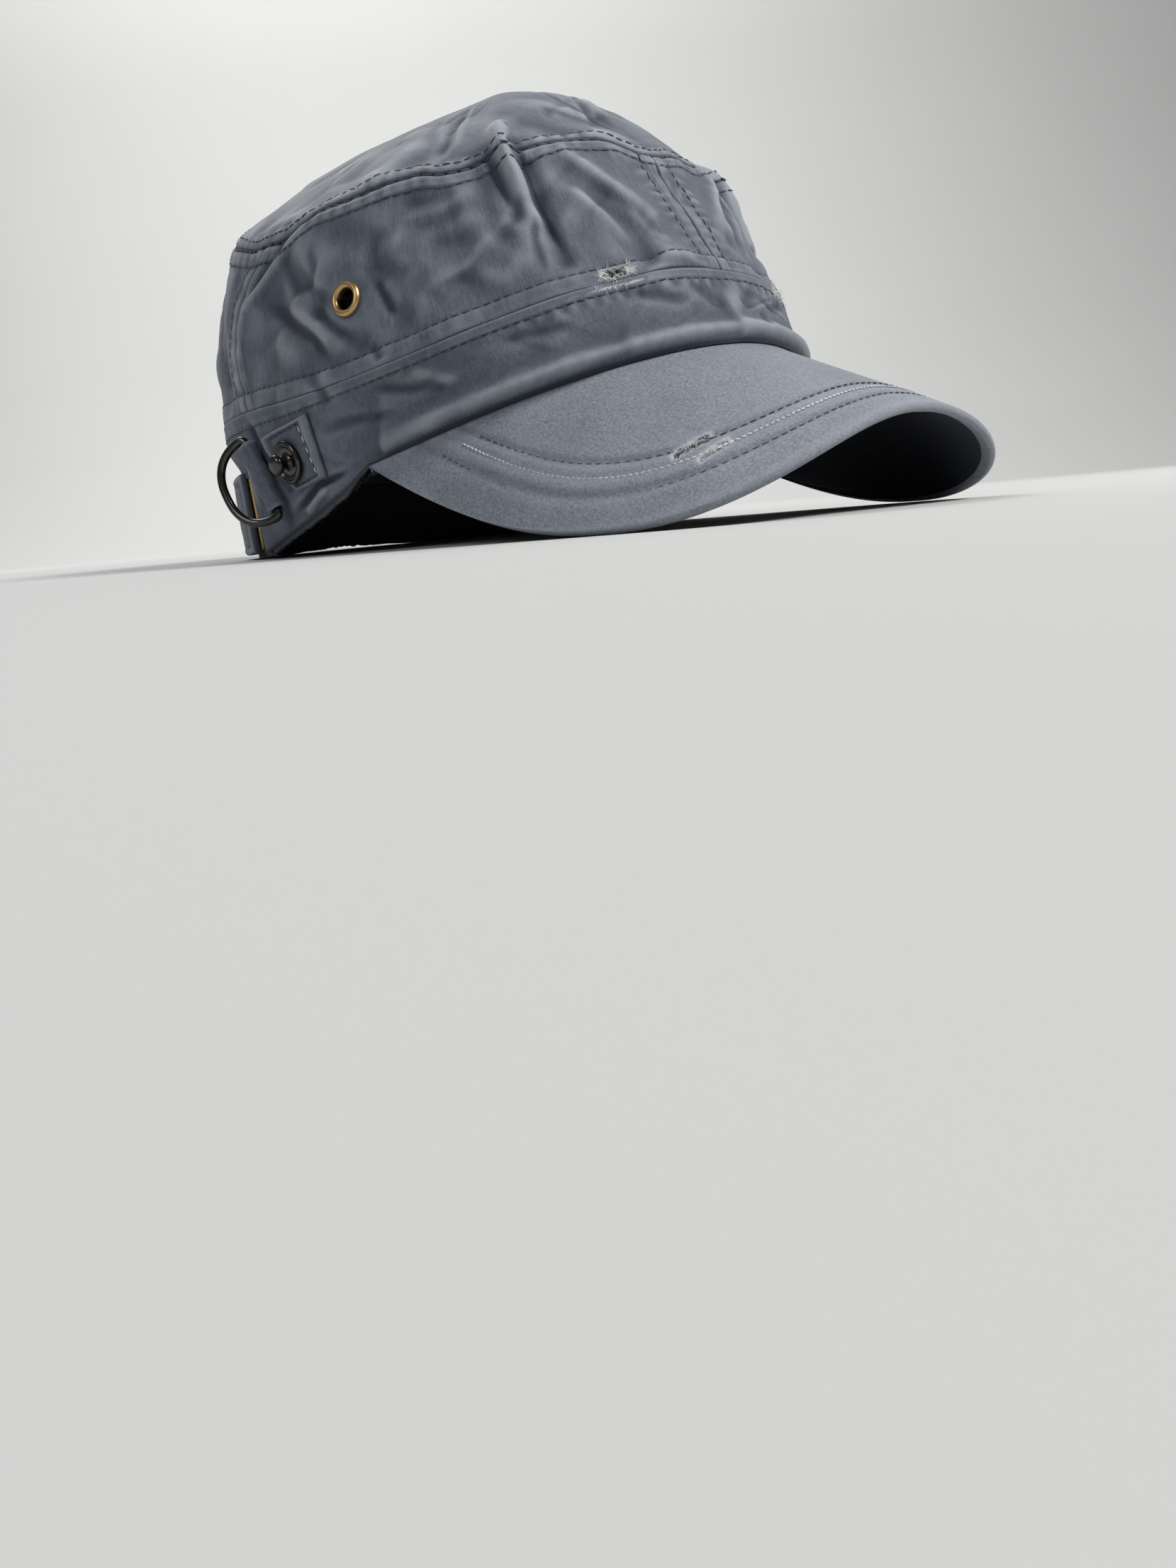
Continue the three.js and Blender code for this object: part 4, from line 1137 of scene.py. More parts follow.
def peakPiece():
    columns = 380
    points = peakSections(np.linspace(-1, 1, columns))
    count = points.shape[1]
    ids = np.arange(columns * count).reshape(columns, count)
    ring = np.concatenate([ids, ids[:, :1]], 1)
    quads = np.stack([ring[:-1, 1:], ring[1:, 1:], ring[1:, :-1], ring[:-1, :-1]], -1).reshape(-1, 4)
    plan = np.concatenate([points[..., :2], points[:, :1, :2]], 1)
    quadUvs = np.stack([plan[:-1, 1:], plan[1:, 1:], plan[1:, :-1], plan[:-1, :-1]], 2).reshape(-1, 4, 2)
    triangles = []
    for end, flip in ((0, True), (columns - 1, False)):
        middle = columns * count + (0 if end == 0 else 1)
        loop = ids[end]
        for k in range(count):
            pair = (loop[k], loop[(k + 1) % count])
            triangles.append((pair[1], pair[0], middle) if flip else (pair[0], pair[1], middle))
    ends = np.array([points[0].mean(0), points[-1].mean(0)])
    mesh = buildMesh("peak_cloth", np.concatenate([points.reshape(-1, 3), ends]), quads, quadUvs, triangles)
    x, y = points[..., 0], points[..., 1]
    hole, pale = peakPaint(x, y)[:2]
    edgeEnd = peakRows["top"] + peakRows["edge"]
    onTop = np.zeros(count)
    onTop[:peakRows["top"] + 1] = 1
    # The rim's edge is painted pale, as wear and a painted highlight
    rubbedAndLitEdge = np.zeros(count)
    rubbedAndLitEdge[peakRows["top"] - 2:edgeEnd] = 0.45
    ridge = 0.35 * bell(arcDistance(peakArcs[1], x, y), 1.3)
    wearAndPaintedLight = (standOut(peakRelief(x, y)) + ridge) * onTop + rubbedAndLitEdge
    paintMesh(mesh, {"wearAndPaintedLight": wearAndPaintedLight, "pale": pale * onTop, "hole": hole * onTop})
    piece = addObject("peak_cloth", mesh)
    finishPiece(piece, finishes["peak"], nodes=["peak"])
    # The underside faces take the darker finish, as painted shade
    mesh.materials.append(finishes["under"])
    under = np.zeros((columns - 1, count), int)
    under[:, edgeEnd + 2:] = 1
    index = np.zeros(len(mesh.polygons), np.int32)
    index[:under.size] = under.ravel()
    mesh.polygons.foreach_set("material_index", index)
    return piece


peakPiece()
print("peak made")


# Tab: a cloth strip sewn flat on the band, whose rear end folds round the ring's bar
tabForm = {"frontAngle": -82.6, "low": 0.21, "high": 0.84, "wall": 1.6, "gap": 0.3,
           "shoulderHigh": 4.6, "shoulderLow": 2.2, "longSide": 28.0, "shortSide": 12.5, "sewnIn": 2.3}
ringForm = {"angle": -96.2, "level": 0.485, "stand": 3.5, "lean": 0.44, "swing": 0.647,
            "halfBar": 12.2, "depth": 12.8, "wire": 1.2}
loopForm = {"across": 3.3, "deep": 2.6, "wall": 1.0, "length": 20.4, "foldStart": 5.2}


# The band and crown with their main folds only
def plainSurface(angle, level, out):
    height = foldHeight(angle, level) + rollHeight(angle, level) + out
    return bareSurface(angle, level) + outward(angle, level) * height[..., None]


# A place out mm off the cloth, with its outward, upward and sideways directions
def placeOn(angle, level, out):
    angle, level = np.float64(angle), np.float64(level)
    normal = outward(angle, level)
    up = unit(bareSurface(angle, level + 0.02) - bareSurface(angle, level - 0.02))
    return plainSurface(angle, level, np.float64(out)), normal, up, unit(np.cross(up, normal))


# Middle of the ring's bar, with the ways along the bar, to the rear and outward
def barFrame():
    at, normal, up, around = placeOn(ringForm["angle"], ringForm["level"], ringForm["stand"])
    bar = up * math.cos(ringForm["lean"]) - around * math.sin(ringForm["lean"])
    return at, bar, unit(np.cross(normal, bar)), normal


# The patch is wider than the loop: how far its rear corners stand beyond the loop's ends, in mm
def tabShoulder(row):
    return np.where(row > 0.5, tabForm["shoulderHigh"], tabForm["shoulderLow"]) * (2 * row - 1)


# Angle and level of a place ahead mm in front of the ring's bar and row of the way up it
def besideBar(ahead, row):
    along = (row - 0.5) * loopForm["length"]
    angle = ringForm["angle"] + (ahead - along * math.sin(ringForm["lean"])) / capForm["perDegree"]
    return angle, ringForm["level"] + along * math.cos(ringForm["lean"]) / capForm["perLevel"]


def tabPatch(share, row, out):
    rearAngle, rearLevel = besideBar(loopForm["foldStart"], row)
    frontLevel = lerp(tabForm["low"], tabForm["high"], row)
    level = lerp(rearLevel, frontLevel, share) + (1 - share) * tabShoulder(row) / capForm["perLevel"]
    return plainSurface(lerp(rearAngle, tabForm["frontAngle"], share), level, out)


# Flat patch with a turned edge, and the thin tongue that joins it to the loop
def tabFlat():
    row = np.linspace(0, 1, 72)
    thick = tabForm["gap"] + tabForm["wall"]
    fromEnd = np.minimum(row, 1 - row) * tabForm["longSide"]
    outer, inner, wearAndPaintedLight = [], [], []
    for ahead in np.linspace(1.0, loopForm["foldStart"] - 0.35, 8):
        outer.append(plainSurface(*besideBar(ahead, row), 0.75 + 0 * row))
        inner.append(plainSurface(*besideBar(ahead, row), 0.2 + 0 * row))
        # The tongue between patch and loop is painted darker, as painted shade
        wearAndPaintedLight.append(-0.7 + 0 * row)
    for share in np.linspace(0, 1, 56):
        edge = np.minimum(np.minimum(1 - share, share + 0.01) * tabForm["shortSide"], fromEnd)
        groove = bell(edge - tabForm["sewnIn"], 0.5)
        turned = -0.75 * bell(edge, 0.45) + 0.5 * bell(edge - 1.1, 0.6) - 0.45 * groove
        swell = 0.14 * np.sin(row * 17 + share * 9) + 0.35 * bell(share, 0.3)
        outer.append(tabPatch(share, row, thick + turned + swell))
        inner.append(tabPatch(share, row, tabForm["gap"] + 0 * row))
        # The turned edge is painted pale as wear, and the stitch groove dark as painted shade
        wearAndPaintedLight.append(0.8 * bell(edge - 0.8, 0.8) - 0.7 * groove)
    return np.stack(outer), np.stack(inner), np.stack(wearAndPaintedLight)


# Round loop of cloth that the ring's bar turns in
def tabLoop():
    row = np.linspace(0, 1, 48)
    at, bar, rear, normal = barFrame()
    turn = np.linspace(0, 2 * math.pi, 56, endpoint=False)[:, None]
    ends = np.minimum(row, 1 - row) * loopForm["length"]

    def tube(inset, relief):
        waves = 0.16 * np.sin(row * 13 + 2 * turn) + 0.1 * np.sin(row * 31 - turn)
        sag = relief * waves - relief * 0.45 * bell(ends, 0.6)
        seam = relief * 0.3 * bell(turn - 2.35, 0.14)
        across = (loopForm["across"] - inset + sag - seam) * np.cos(turn)
        deep = (loopForm["deep"] - inset + sag - seam) * np.sin(turn)
        middle = at + bar * ((row - 0.5) * loopForm["length"])[:, None]
        return middle[None] + across[..., None] * rear + deep[..., None] * normal

    return tube(0.0, 1.0), tube(loopForm["wall"], 0.0), 0.5 * bell(ends - 0.4, 0.6) + 0 * turn


def tabPiece(side):
    name = sideName(side)
    parts = []
    for part, (outer, inner, wearAndPaintedLight) in (("flat", tabFlat()), ("loop", tabLoop())):
        columns, rows = wearAndPaintedLight.shape
        uv = np.stack(np.meshgrid(np.arange(columns) * 0.3, np.linspace(0, 26, rows), indexing="ij"), -1)
        if side > 0:
            outer, inner, wearAndPaintedLight = outer[::-1] * [-1, 1, 1], inner[::-1] * [-1, 1, 1], wearAndPaintedLight[::-1]
        paint = {"wearAndPaintedLight": wearAndPaintedLight, "pale": 0 * wearAndPaintedLight, "hole": 0 * wearAndPaintedLight}
        parts.append(wallMesh("tab_" + part + "_" + name, outer, inner, uv, paint, closed=part == "loop"))
    piece = joined("tab_cloth_" + name, parts)
    outwardNormals(piece)
    return finishPiece(piece, finishes["band"], nodes=["tab_" + name])


def joined(name, parts):
    with bpy.context.temp_override(active_object=parts[0], selected_editable_objects=parts):
        bpy.ops.object.join()
    parts[0].name = name
    return parts[0]


# Points of a round wire that follows a closed path in the plane that facing stands on
def wirePoints(path, radius, sides, facing):
    ahead = unit(np.roll(path, -1, 0) - np.roll(path, 1, 0))
    side = unit(np.cross(ahead, facing))
    up = np.cross(side, ahead)
    turns = np.linspace(0, 2 * math.pi, sides, endpoint=False)
    section = side[:, None] * np.cos(turns)[None, :, None] + up[:, None] * np.sin(turns)[None, :, None]
    return (path[:, None] + section * radius).reshape(-1, 3)


def ringPiece(side):
    at, bar, rear, normal = barFrame()
    arm = rear * math.cos(ringForm["swing"]) + normal * math.sin(ringForm["swing"])
    turn = np.radians(np.linspace(0, 180, 90))
    x = ringForm["halfBar"] * signedPower(np.cos(turn), 0.84)
    y = ringForm["depth"] * np.abs(np.sin(turn)) ** 0.84
    barX = np.linspace(-0.94, 0.94, 24) * ringForm["halfBar"]
    flat = np.concatenate([np.stack([x, y], -1), np.stack([barX, 0 * barX], -1)])
    for again in range(4):
        flat = (np.roll(flat, 1, 0) + 2 * flat + np.roll(flat, -1, 0)) / 4
    path = at + flat[:, :1] * bar + flat[:, 1:] * arm
    sides = 20
    points = wirePoints(path, ringForm["wire"], sides, unit(np.cross(bar, arm)))
    if side > 0:
        points = points * [-1, 1, 1]
    wire, body = "ring_wire_" + sideName(side), "ring_" + sideName(side)
    piece = addObject(wire, buildMesh(wire, points, tubeQuads(len(path), sides, closed=True)))
    outwardNormals(piece)
    return finishPiece(piece, finishes["gunmetal"], body=body, nodes=[body])


# Cuts a round hole through a panel where an eyelet goes
def punchHole(piece, side):
    at, normal, up, around = placeOn(eyeletForm["angle"], eyeletForm["level"], 0.0)
    sides, reach = 40, 7
    turns = np.linspace(0, 2 * math.pi, sides, endpoint=False)
    ring = np.cos(turns)[:, None] * up + np.sin(turns)[:, None] * around
    ring = ring * (eyeletForm["tube"] + 0.2)
    ends = [at + normal * -reach, at + normal * reach]
    points = np.concatenate([ends[0] + ring, ends[1] + ring, ends])
    low = np.arange(sides)
    after = (low + 1) % sides
    quads = np.stack([low, after, after + sides, low + sides], -1)
    triangles = [(a, b, 2 * sides) for a, b in zip(after, low)]
    triangles += [(a + sides, b + sides, 2 * sides + 1) for a, b in zip(low, after)]
    if side > 0:
        points = points * [-1, 1, 1]
    punch = addObject("punch", buildMesh("punch", points, quads, triangles=triangles))
    outwardNormals(punch)
    cut = piece.modifiers.new("cut", "BOOLEAN")
    cut.operation, cut.solver, cut.object = "DIFFERENCE", "EXACT", punch
    made = bpy.data.meshes.new_from_object(piece.evaluated_get(bpy.context.evaluated_depsgraph_get()))
    piece.modifiers.clear()
    piece.data = made
    bpy.data.objects.remove(punch)


# A turned piece on the cloth: profile points are radius and height in mm, and the last argument is how
# strongly painted shade darkens it below the cloth. A profile that starts off the middle closes on itself.
def lathePiece(name, profile, place, side, finish, nodes, sunkShade=0.0):
    at, normal, up, around = place
    sides = 64
    turns = np.linspace(0, 2 * math.pi, sides, endpoint=False)
    profile = np.array(profile)
    spokes = np.cos(turns)[None, :, None] * up + np.sin(turns)[None, :, None] * around
    points = at + profile[:, 1][:, None, None] * normal + profile[:, 0][:, None, None] * spokes
    quads = tubeQuads(len(profile), sides, closed=profile[0][0] > 0)
    points = points.reshape(-1, 3)
    if side > 0:
        points = points * [-1, 1, 1]
    piece = addObject(name, buildMesh(name, points, quads))
    depth = np.repeat(smooth(-profile[:, 1] / 0.9 - 0.15) * sunkShade, sides)
    piece.data.attributes.new("hole", "FLOAT", "POINT").data.foreach_set("value", depth.astype(np.float32))
    outwardNormals(piece)
    return finishPiece(piece, finish, nodes=nodes)


def arcPoints(centre, radius, start, end, count):
    turns = np.radians(np.linspace(start, end, count))
    return [(centre[0] + radius * math.cos(t), centre[1] + radius * math.sin(t)) for t in turns]


studForm = {"angle": -89.0, "level": 0.5, "disc": 6.0, "knob": 2.8, "height": 5.6, "stand": 0.55}


def studPiece(side):
    disc, knob, height = studForm["disc"], studForm["knob"], studForm["height"]
    profile = [(0.0, 0.0), (disc - 0.3, 0.0)]
    profile += arcPoints((disc - 0.75, 0.75), 0.75, -50, 160, 12)
    profile += arcPoints((disc - 2.6, 1.9), 1.25, -30, -90, 6)
    profile += [(2.6, 0.62), (2.1, 0.8)]
    profile += arcPoints((2.5, 1.9), 0.95, 230, 150, 6)
    profile += [(1.65, 2.6), (1.75, 3.1)]
    profile += arcPoints((knob - 1.15, height - 1.25), 1.15, -60, 90, 14)
    profile += [(0.9, height + 0.02), (0.0, height + 0.06)]
    name = sideName(side)
    place = placeOn(studForm["angle"], studForm["level"], tabForm["wall"] + studForm["stand"])
    return lathePiece("stud_metal_" + name, profile, place, side, finishes["gunmetal"],
                      ["stud_" + name])


def eyeletPiece(side):
    hole, tube, rim = eyeletForm["hole"], eyeletForm["tube"], eyeletForm["rim"]
    middle = (hole + rim) / 2
    wide = (rim - hole) / 2
    turns = np.radians(np.linspace(0, 180, 17))
    profile = [(middle + wide * math.cos(t), 0.1 + 1.15 * math.sin(t)) for t in turns]
    profile += [(hole, -1.2), (hole + 0.1, -2.5), (rim - 0.3, -2.5), (rim - 0.3, -2.0)]
    profile += [(tube, -1.9), (tube, -0.1)]
    name = sideName(side)
    place = placeOn(eyeletForm["angle"], eyeletForm["level"], 0.0)
    return lathePiece("eyelet_metal_" + name, profile, place, side, finishes["brass"],
                      ["eyelet_" + name], sunkShade=1.0)


for side, panel in ((-1, rightPanel), (1, leftPanel)):
    punchHole(panel, side)
    tabPiece(side)
    ringPiece(side)
    studPiece(side)
    eyeletPiece(side)
print("tabs and metal made")


# Rear strap with its slide. The relief comes with the distance from the nearest edge, in mm.
def strapRelief(angle, level):
    away = np.abs(wrapped(angle))
    fromEnd = (away - strapForm["nearAngle"]) * 1.3
    fromLow = (level - strapForm["low"]) * capForm["perLevel"]
    fromHigh = (strapForm["high"] - level) * capForm["perLevel"]
    edge = np.minimum(np.minimum(fromLow, fromHigh), fromEnd)
    height = foldHeight(angle, level) + crumple(bareSurface(angle, level), 0.5)
    return height - 0.55 * bell(edge, 0.6) + 0.15 * bell(edge - 1.3, 0.8) - 0.3 * bell(edge - 3, 0.5), edge


def strapPoint(angle, level):
    return standing(angle, level, strapRelief(angle, level)[0])


def strapPiece():
    columns, rows = 320, 50
    near = strapForm["nearAngle"]
    angle = np.linspace(near, 360 - near, columns)[:, None] + np.zeros(rows)
    level = np.linspace(strapForm["low"], strapForm["high"], rows)[None, :] + np.zeros((columns, 1))
    height, edge = strapRelief(angle, level)
    outer = standing(angle, level, height)
    few = np.linspace(0, rows - 1, 9).round().astype(int)
    a, l = angle[:, few], level[:, few]
    inner = standing(a, l, foldHeight(a, l) - strapForm["wall"])
    wearAndPaintedLight = standOut(height) + 0.4 * bell(edge - 0.8, 0.8)
    uv = clothUv(angle, level, capForm["bandRun"])
    piece = wallMesh("rear_strap_cloth", outer, inner, uv, {"wearAndPaintedLight": wearAndPaintedLight, "pale": 0 * wearAndPaintedLight, "hole": 0 * wearAndPaintedLight})
    return finishPiece(piece, finishes["band"], nodes=["rear_strap"])


slideForm = {"angle": -113.0, "level": 0.33, "height": 22.5, "width": 9.0, "bar": 2.0, "wall": 1.2,
             "gap": 0.3, "corner": 0.9}


def slidePiece():
    depth = strapForm["wall"] + slideForm["gap"] + slideForm["wall"]
    at, normal, up, around = placeOn(slideForm["angle"], slideForm["level"], -depth)
    halfX = slideForm["width"] / 2 - slideForm["bar"] / 2
    halfY = slideForm["height"] / 2 - slideForm["bar"] / 2
    bend, outline = slideForm["corner"], []
    for sx, sy, start in ((1, 1, 0), (-1, 1, 90), (-1, -1, 180), (1, -1, 270)):
        outline += arcPoints((sx * (halfX - bend), sy * (halfY - bend)), bend, start, start + 90, 6)
    path = np.array([at + around * x + up * y + normal * slideForm["wall"] / 2 for x, y in outline])
    count, sides = len(path), 14
    ahead = unit(np.roll(path, -1, 0) - np.roll(path, 1, 0))
    sideways = unit(np.cross(ahead, normal))
    turns = np.linspace(0, 2 * math.pi, sides, endpoint=False)
    flat = signedPower(np.cos(turns), 0.6) * slideForm["bar"] / 2
    thick = signedPower(np.sin(turns), 0.6) * slideForm["wall"] / 2
    points = path[:, None] + sideways[:, None] * flat[None, :, None] + normal * thick[None, :, None]
    quads = tubeQuads(count, sides, closed=True)
    piece = addObject("strap_slide_metal", buildMesh("strap_slide_metal", points.reshape(-1, 3), quads))
    outwardNormals(piece)
    return finishPiece(piece, finishes["brass"], nodes=["strap_slide"])


strapPiece()
slidePiece()
print("strap made")


# Stitches: Geometry Nodes lay one small thread on each point of a row
def stitchTree():
    tree = bpy.data.node_groups.new("stitchRow", "GeometryNodeTree")
    sockets = {}
    for label, kind in (("Row", "NodeSocketGeometry"), ("Stitch Length", "NodeSocketFloat"),
                        ("Thread Width", "NodeSocketFloat"), ("Unevenness", "NodeSocketFloat"),
                        ("Seed", "NodeSocketInt"), ("Thread", "NodeSocketMaterial")):
        sockets[label] = tree.interface.new_socket(label, in_out="INPUT", socket_type=kind).identifier
    tree.interface.new_socket("Stitches", in_out="OUTPUT", socket_type="NodeSocketGeometry")

    def add(kind, settings=None, inputs=None):
        node = tree.nodes.new(kind)
        for key, value in (settings or {}).items():
            setattr(node, key, value)
        for key, value in (inputs or {}).items():
            if isinstance(value, bpy.types.NodeSocket):
                tree.links.new(value, node.inputs[key])
            else:
                node.inputs[key].default_value = value
        return node

    start = add("NodeGroupInput")
    bead = add("GeometryNodeMeshUVSphere", {}, {"Segments": 8, "Rings": 6, "Radius": 0.5})
    length, width = start.outputs["Stitch Length"], start.outputs["Thread Width"]
    size = add("ShaderNodeCombineXYZ", {}, {0: length, 1: width, 2: width})
    thread = add("GeometryNodeTransform", {}, {"Geometry": bead.outputs["Mesh"], "Scale": size.outputs[0]})
    along = add("GeometryNodeInputNamedAttribute", {"data_type": "FLOAT_VECTOR"}, {"Name": "along"})
    upward = add("GeometryNodeInputNamedAttribute", {"data_type": "FLOAT_VECTOR"}, {"Name": "up"})
    low = add("ShaderNodeMath", {"operation": "SUBTRACT"}, {0: 0.0, 1: start.outputs["Unevenness"]})
    wander = add("FunctionNodeRandomValue", {"data_type": "FLOAT"}, {
        2: low.outputs[0], 3: start.outputs["Unevenness"], "Seed": start.outputs["Seed"]})
    across = add("ShaderNodeVectorMath", {"operation": "CROSS_PRODUCT"}, {
        0: along.outputs[0], 1: upward.outputs[0]})
    bent = add("ShaderNodeVectorMath", {"operation": "SCALE"}, {0: across.outputs[0], 3: wander.outputs[1]})
    heading = add("ShaderNodeVectorMath", {"operation": "ADD"}, {0: along.outputs[0], 1: bent.outputs[0]})
    turn = add("FunctionNodeAxesToRotation", {"primary_axis": "X", "secondary_axis": "Z"}, {
        0: heading.outputs[0], 1: upward.outputs[0]})
    laid = add("GeometryNodeInstanceOnPoints", {}, {
        "Points": start.outputs["Row"], "Instance": thread.outputs[0], "Rotation": turn.outputs[0]})
    real = add("GeometryNodeRealizeInstances", {}, {"Geometry": laid.outputs[0]})
    shaded = add("GeometryNodeSetShadeSmooth", {}, {"Geometry": real.outputs[0]})
    painted = add("GeometryNodeSetMaterial", {}, {
        "Geometry": shaded.outputs[0], "Material": start.outputs["Thread"]})
    end = add("NodeGroupOutput")
    tree.links.new(painted.outputs[0], end.inputs[0])
    return tree, sockets


rowTree, rowSockets = stitchTree()


# Places along a dense path at a steady pitch: centre, direction and outward normal
def stitchPlaces(path, normals, pitch):
    lengths = np.concatenate([[0], np.cumsum(np.linalg.norm(np.diff(path, axis=0), axis=1))])
    count = max(int(lengths[-1] / pitch), 1)
    spots = (np.arange(count) + 0.5) * lengths[-1] / count
    at = np.stack([np.interp(spots, lengths, path[:, k]) for k in range(3)], -1)
    before = np.stack([np.interp(spots - pitch * 0.35, lengths, path[:, k]) for k in range(3)], -1)
    after = np.stack([np.interp(spots + pitch * 0.35, lengths, path[:, k]) for k in range(3)], -1)
    up = unit(np.stack([np.interp(spots, lengths, normals[:, k]) for k in range(3)], -1))
    return at, unit(after - before), up


# Sews rows of stitches: the sizes are in mm, and each row is a path and its normals
def sewRow(name, rows, thread, slotName="crown_cloth", seed=1, pitch=2.8, length=2.3, width=0.5, uneven=0.08,
           raised=0.06):
    places = [stitchPlaces(path, normals, pitch) for path, normals in rows]
    at, along, up = (np.concatenate([p[k] for p in places]) for k in range(3))
    mesh = bpy.data.meshes.new(name)
    mesh.from_pydata(((at + up * raised + [0, capForm["shiftY"], 0]) * mm).tolist(), [], [])
    for key, values in (("along", along), ("up", up)):
        layer = mesh.attributes.new(key, "FLOAT_VECTOR", "POINT")
        layer.data.foreach_set("vector", values.astype(np.float32).ravel())
    row = addObject(name, mesh)
    modifier = row.modifiers.new("stitches", "NODES")
    modifier.node_group = rowTree
    modifier[rowSockets["Stitch Length"]] = length * mm
    modifier[rowSockets["Thread Width"]] = width * mm
    modifier[rowSockets["Unevenness"]] = uneven
    modifier[rowSockets["Seed"]] = seed
    modifier[rowSockets["Thread"]] = finishes[thread]
    made = bpy.data.meshes.new_from_object(row.evaluated_get(bpy.context.evaluated_depsgraph_get()))
    row.modifiers.clear()
    row.data = made
    for extra in ("along", "up"):
        if extra in made.attributes:
            made.attributes.remove(made.attributes[extra])
    return finishPiece(row, finishes[thread])


def surfaceRow(pointAt, angles, levels):
    angles, levels = np.asarray(angles, float), np.asarray(levels, float)
    return pointAt(angles, levels), outward(angles, levels)


fullTurn = np.linspace(-180, 180, 2200)
frontLevels = np.linspace(1.09, 1.86, 260)
backLevels = np.linspace(1.1, 1.86, 260)
topLow = topSeamLevel(fullTurn) - seamForm["stitchAt"] / capForm["perLevel"]
topHigh = topSeamLevel(fullTurn) + seamForm["stitchAt"] / capForm["perTopLevel"]
crownRows = [
    surfaceRow(crownPoint, fullTurn, topLow),
    surfaceRow(crownPoint, fullTurn, topHigh),
]
sewRow("crown_stitches_top", crownRows, "darkThread", seed=2)
# Thick dark beads on the seam line: the thread, and painted shade of the gap between the turned edges
sewRow("crown_seam_thread_and_shade", [surfaceRow(crownPoint, fullTurn, topSeamLevel(fullTurn))], "darkThread",
       seed=7, pitch=3.3, length=3.0, width=0.75, raised=0.3)


# The crown narrows upward, so a row beside the front seam takes more degrees there
def frontRow(side):
    across = np.degrees(np.arcsin(frontSewing["at"] / frontSewing["radius"]))
    angles = 0 * frontLevels + side * across * lerp(*frontSewing["widening"], frontLevels - 1)
    return surfaceRow(crownPoint, angles, frontLevels)


sewRow("crown_stitches_front", [frontRow(-1), frontRow(1)], "darkThread", seed=3)
sewRow("crown_stitches_back", [
    surfaceRow(crownPoint, side * (backSeamAngle(backLevels) + 4.2), backLevels) for side in (-1, 1)
], "slateThread", seed=4)
sewRow("crown_stitches_low", [surfaceRow(crownPoint, fullTurn, 0 * fullTurn + bandSewing["upperLevel"])],
       "darkThread", seed=5)
sewRow("band_stitches", [surfaceRow(bandPoint, fullTurn, 0 * fullTurn + bandSewing["lowerLevel"])],
       "darkThread", "band_cloth", seed=6)


strapTurn = np.linspace(strapForm["nearAngle"] + 2.4, 360 - strapForm["nearAngle"] - 2.4, 900)
strapInset = 3.0 / capForm["perLevel"]
sewRow("strap_stitches", [
    surfaceRow(strapPoint, strapTurn, 0 * strapTurn + strapForm["low"] + strapInset),
    surfaceRow(strapPoint, strapTurn, 0 * strapTurn + strapForm["high"] - strapInset),
], "slateThread", "band_cloth", seed=8)


# Stitches run along the tab's edges, a little inside them
def tabRow(side, corners):
    low, high = tabForm["sewnIn"] / tabForm["longSide"], 1 - tabForm["sewnIn"] / tabForm["longSide"]
    rear, front = 0.16, 1 - tabForm["sewnIn"] / tabForm["shortSide"]
    places = {"rearHigh": (rear, high), "frontHigh": (front, high), "frontLow": (front, low),
              "rearLow": (rear, low)}
    start, end = (np.array(places[corner]) for corner in corners)
    share, row = lerp(start[:, None], end[:, None], np.linspace(0, 1, 200))
    points = tabPatch(share, row, tabForm["gap"] + tabForm["wall"] - 0.35 + 0 * row)
    normals = outward(lerp(ringForm["angle"], tabForm["frontAngle"], share), 0.5 + 0 * share)
    mirror = np.array([-side, 1, 1])
    return points * mirror, normals * mirror


for side, name in ((-1, "right"), (1, "left")):
    edges = [tabRow(side, ("rearHigh", "frontHigh")), tabRow(side, ("rearLow", "frontLow"))]
    sewRow("tab_stitches_edges_" + name, edges, "darkThread", "band_cloth", seed=9,
           pitch=2.4, length=1.8, raised=0.12)
    front = tabRow(side, ("frontLow", "frontHigh"))
    sewRow("tab_stitches_front_" + name, [front], "paleThread", "band_cloth", seed=10,
           pitch=2.6, length=1.8, width=0.42, raised=0.12)


# How far out on the peak a place lies, for the lift of its rim
def peakShare(y):
    rimY, rootY = capForm["hem"]["front"] + peakForm["reach"], 60
    return np.clip((-y - rootY) / (rimY - rootY), 0.2, 0.9)


# Places on the peak's top face, in mm
def onPeak(x, y, relief=0.0):
    normal = peakNormal(x)
    height = peakForm["lift"] * peakShare(y) + relief
    return np.stack([x, y, peakHeight(x, y)], -1) + normal * height[:, None], normal


def peakRow(arc):
    turn = np.radians(np.linspace(-89.9, 89.9, 1200))
    x = arc["half"] * signedPower(np.sin(turn), 2 / arc["power"])
    y = arc["start"] - arc["depth"] * np.cos(turn) ** (2 / arc["power"])
    point, normal = onPeak(x, y, peakRelief(x, y))
    hem = capForm["hem"]
    fromHem = (np.abs(x) / hem["side"]) ** hem["power"] + (np.abs(y) / hem["front"]) ** hem["power"]
    clear = fromHem > 1.07
    return point[clear], normal[clear]


for k, (arc, sewing) in enumerate(zip(peakArcs, peakSewing)):
    sewRow("peak_stitches_" + str(k + 1), [peakRow(arc)], slotName="peak_cloth", seed=10 + k, **sewing)
print("stitches made")


# Torn threads: thin bent fibres that leave the cloth at a tear
fibreForm = {"radius": 0.075, "sides": 3, "joints": 6}


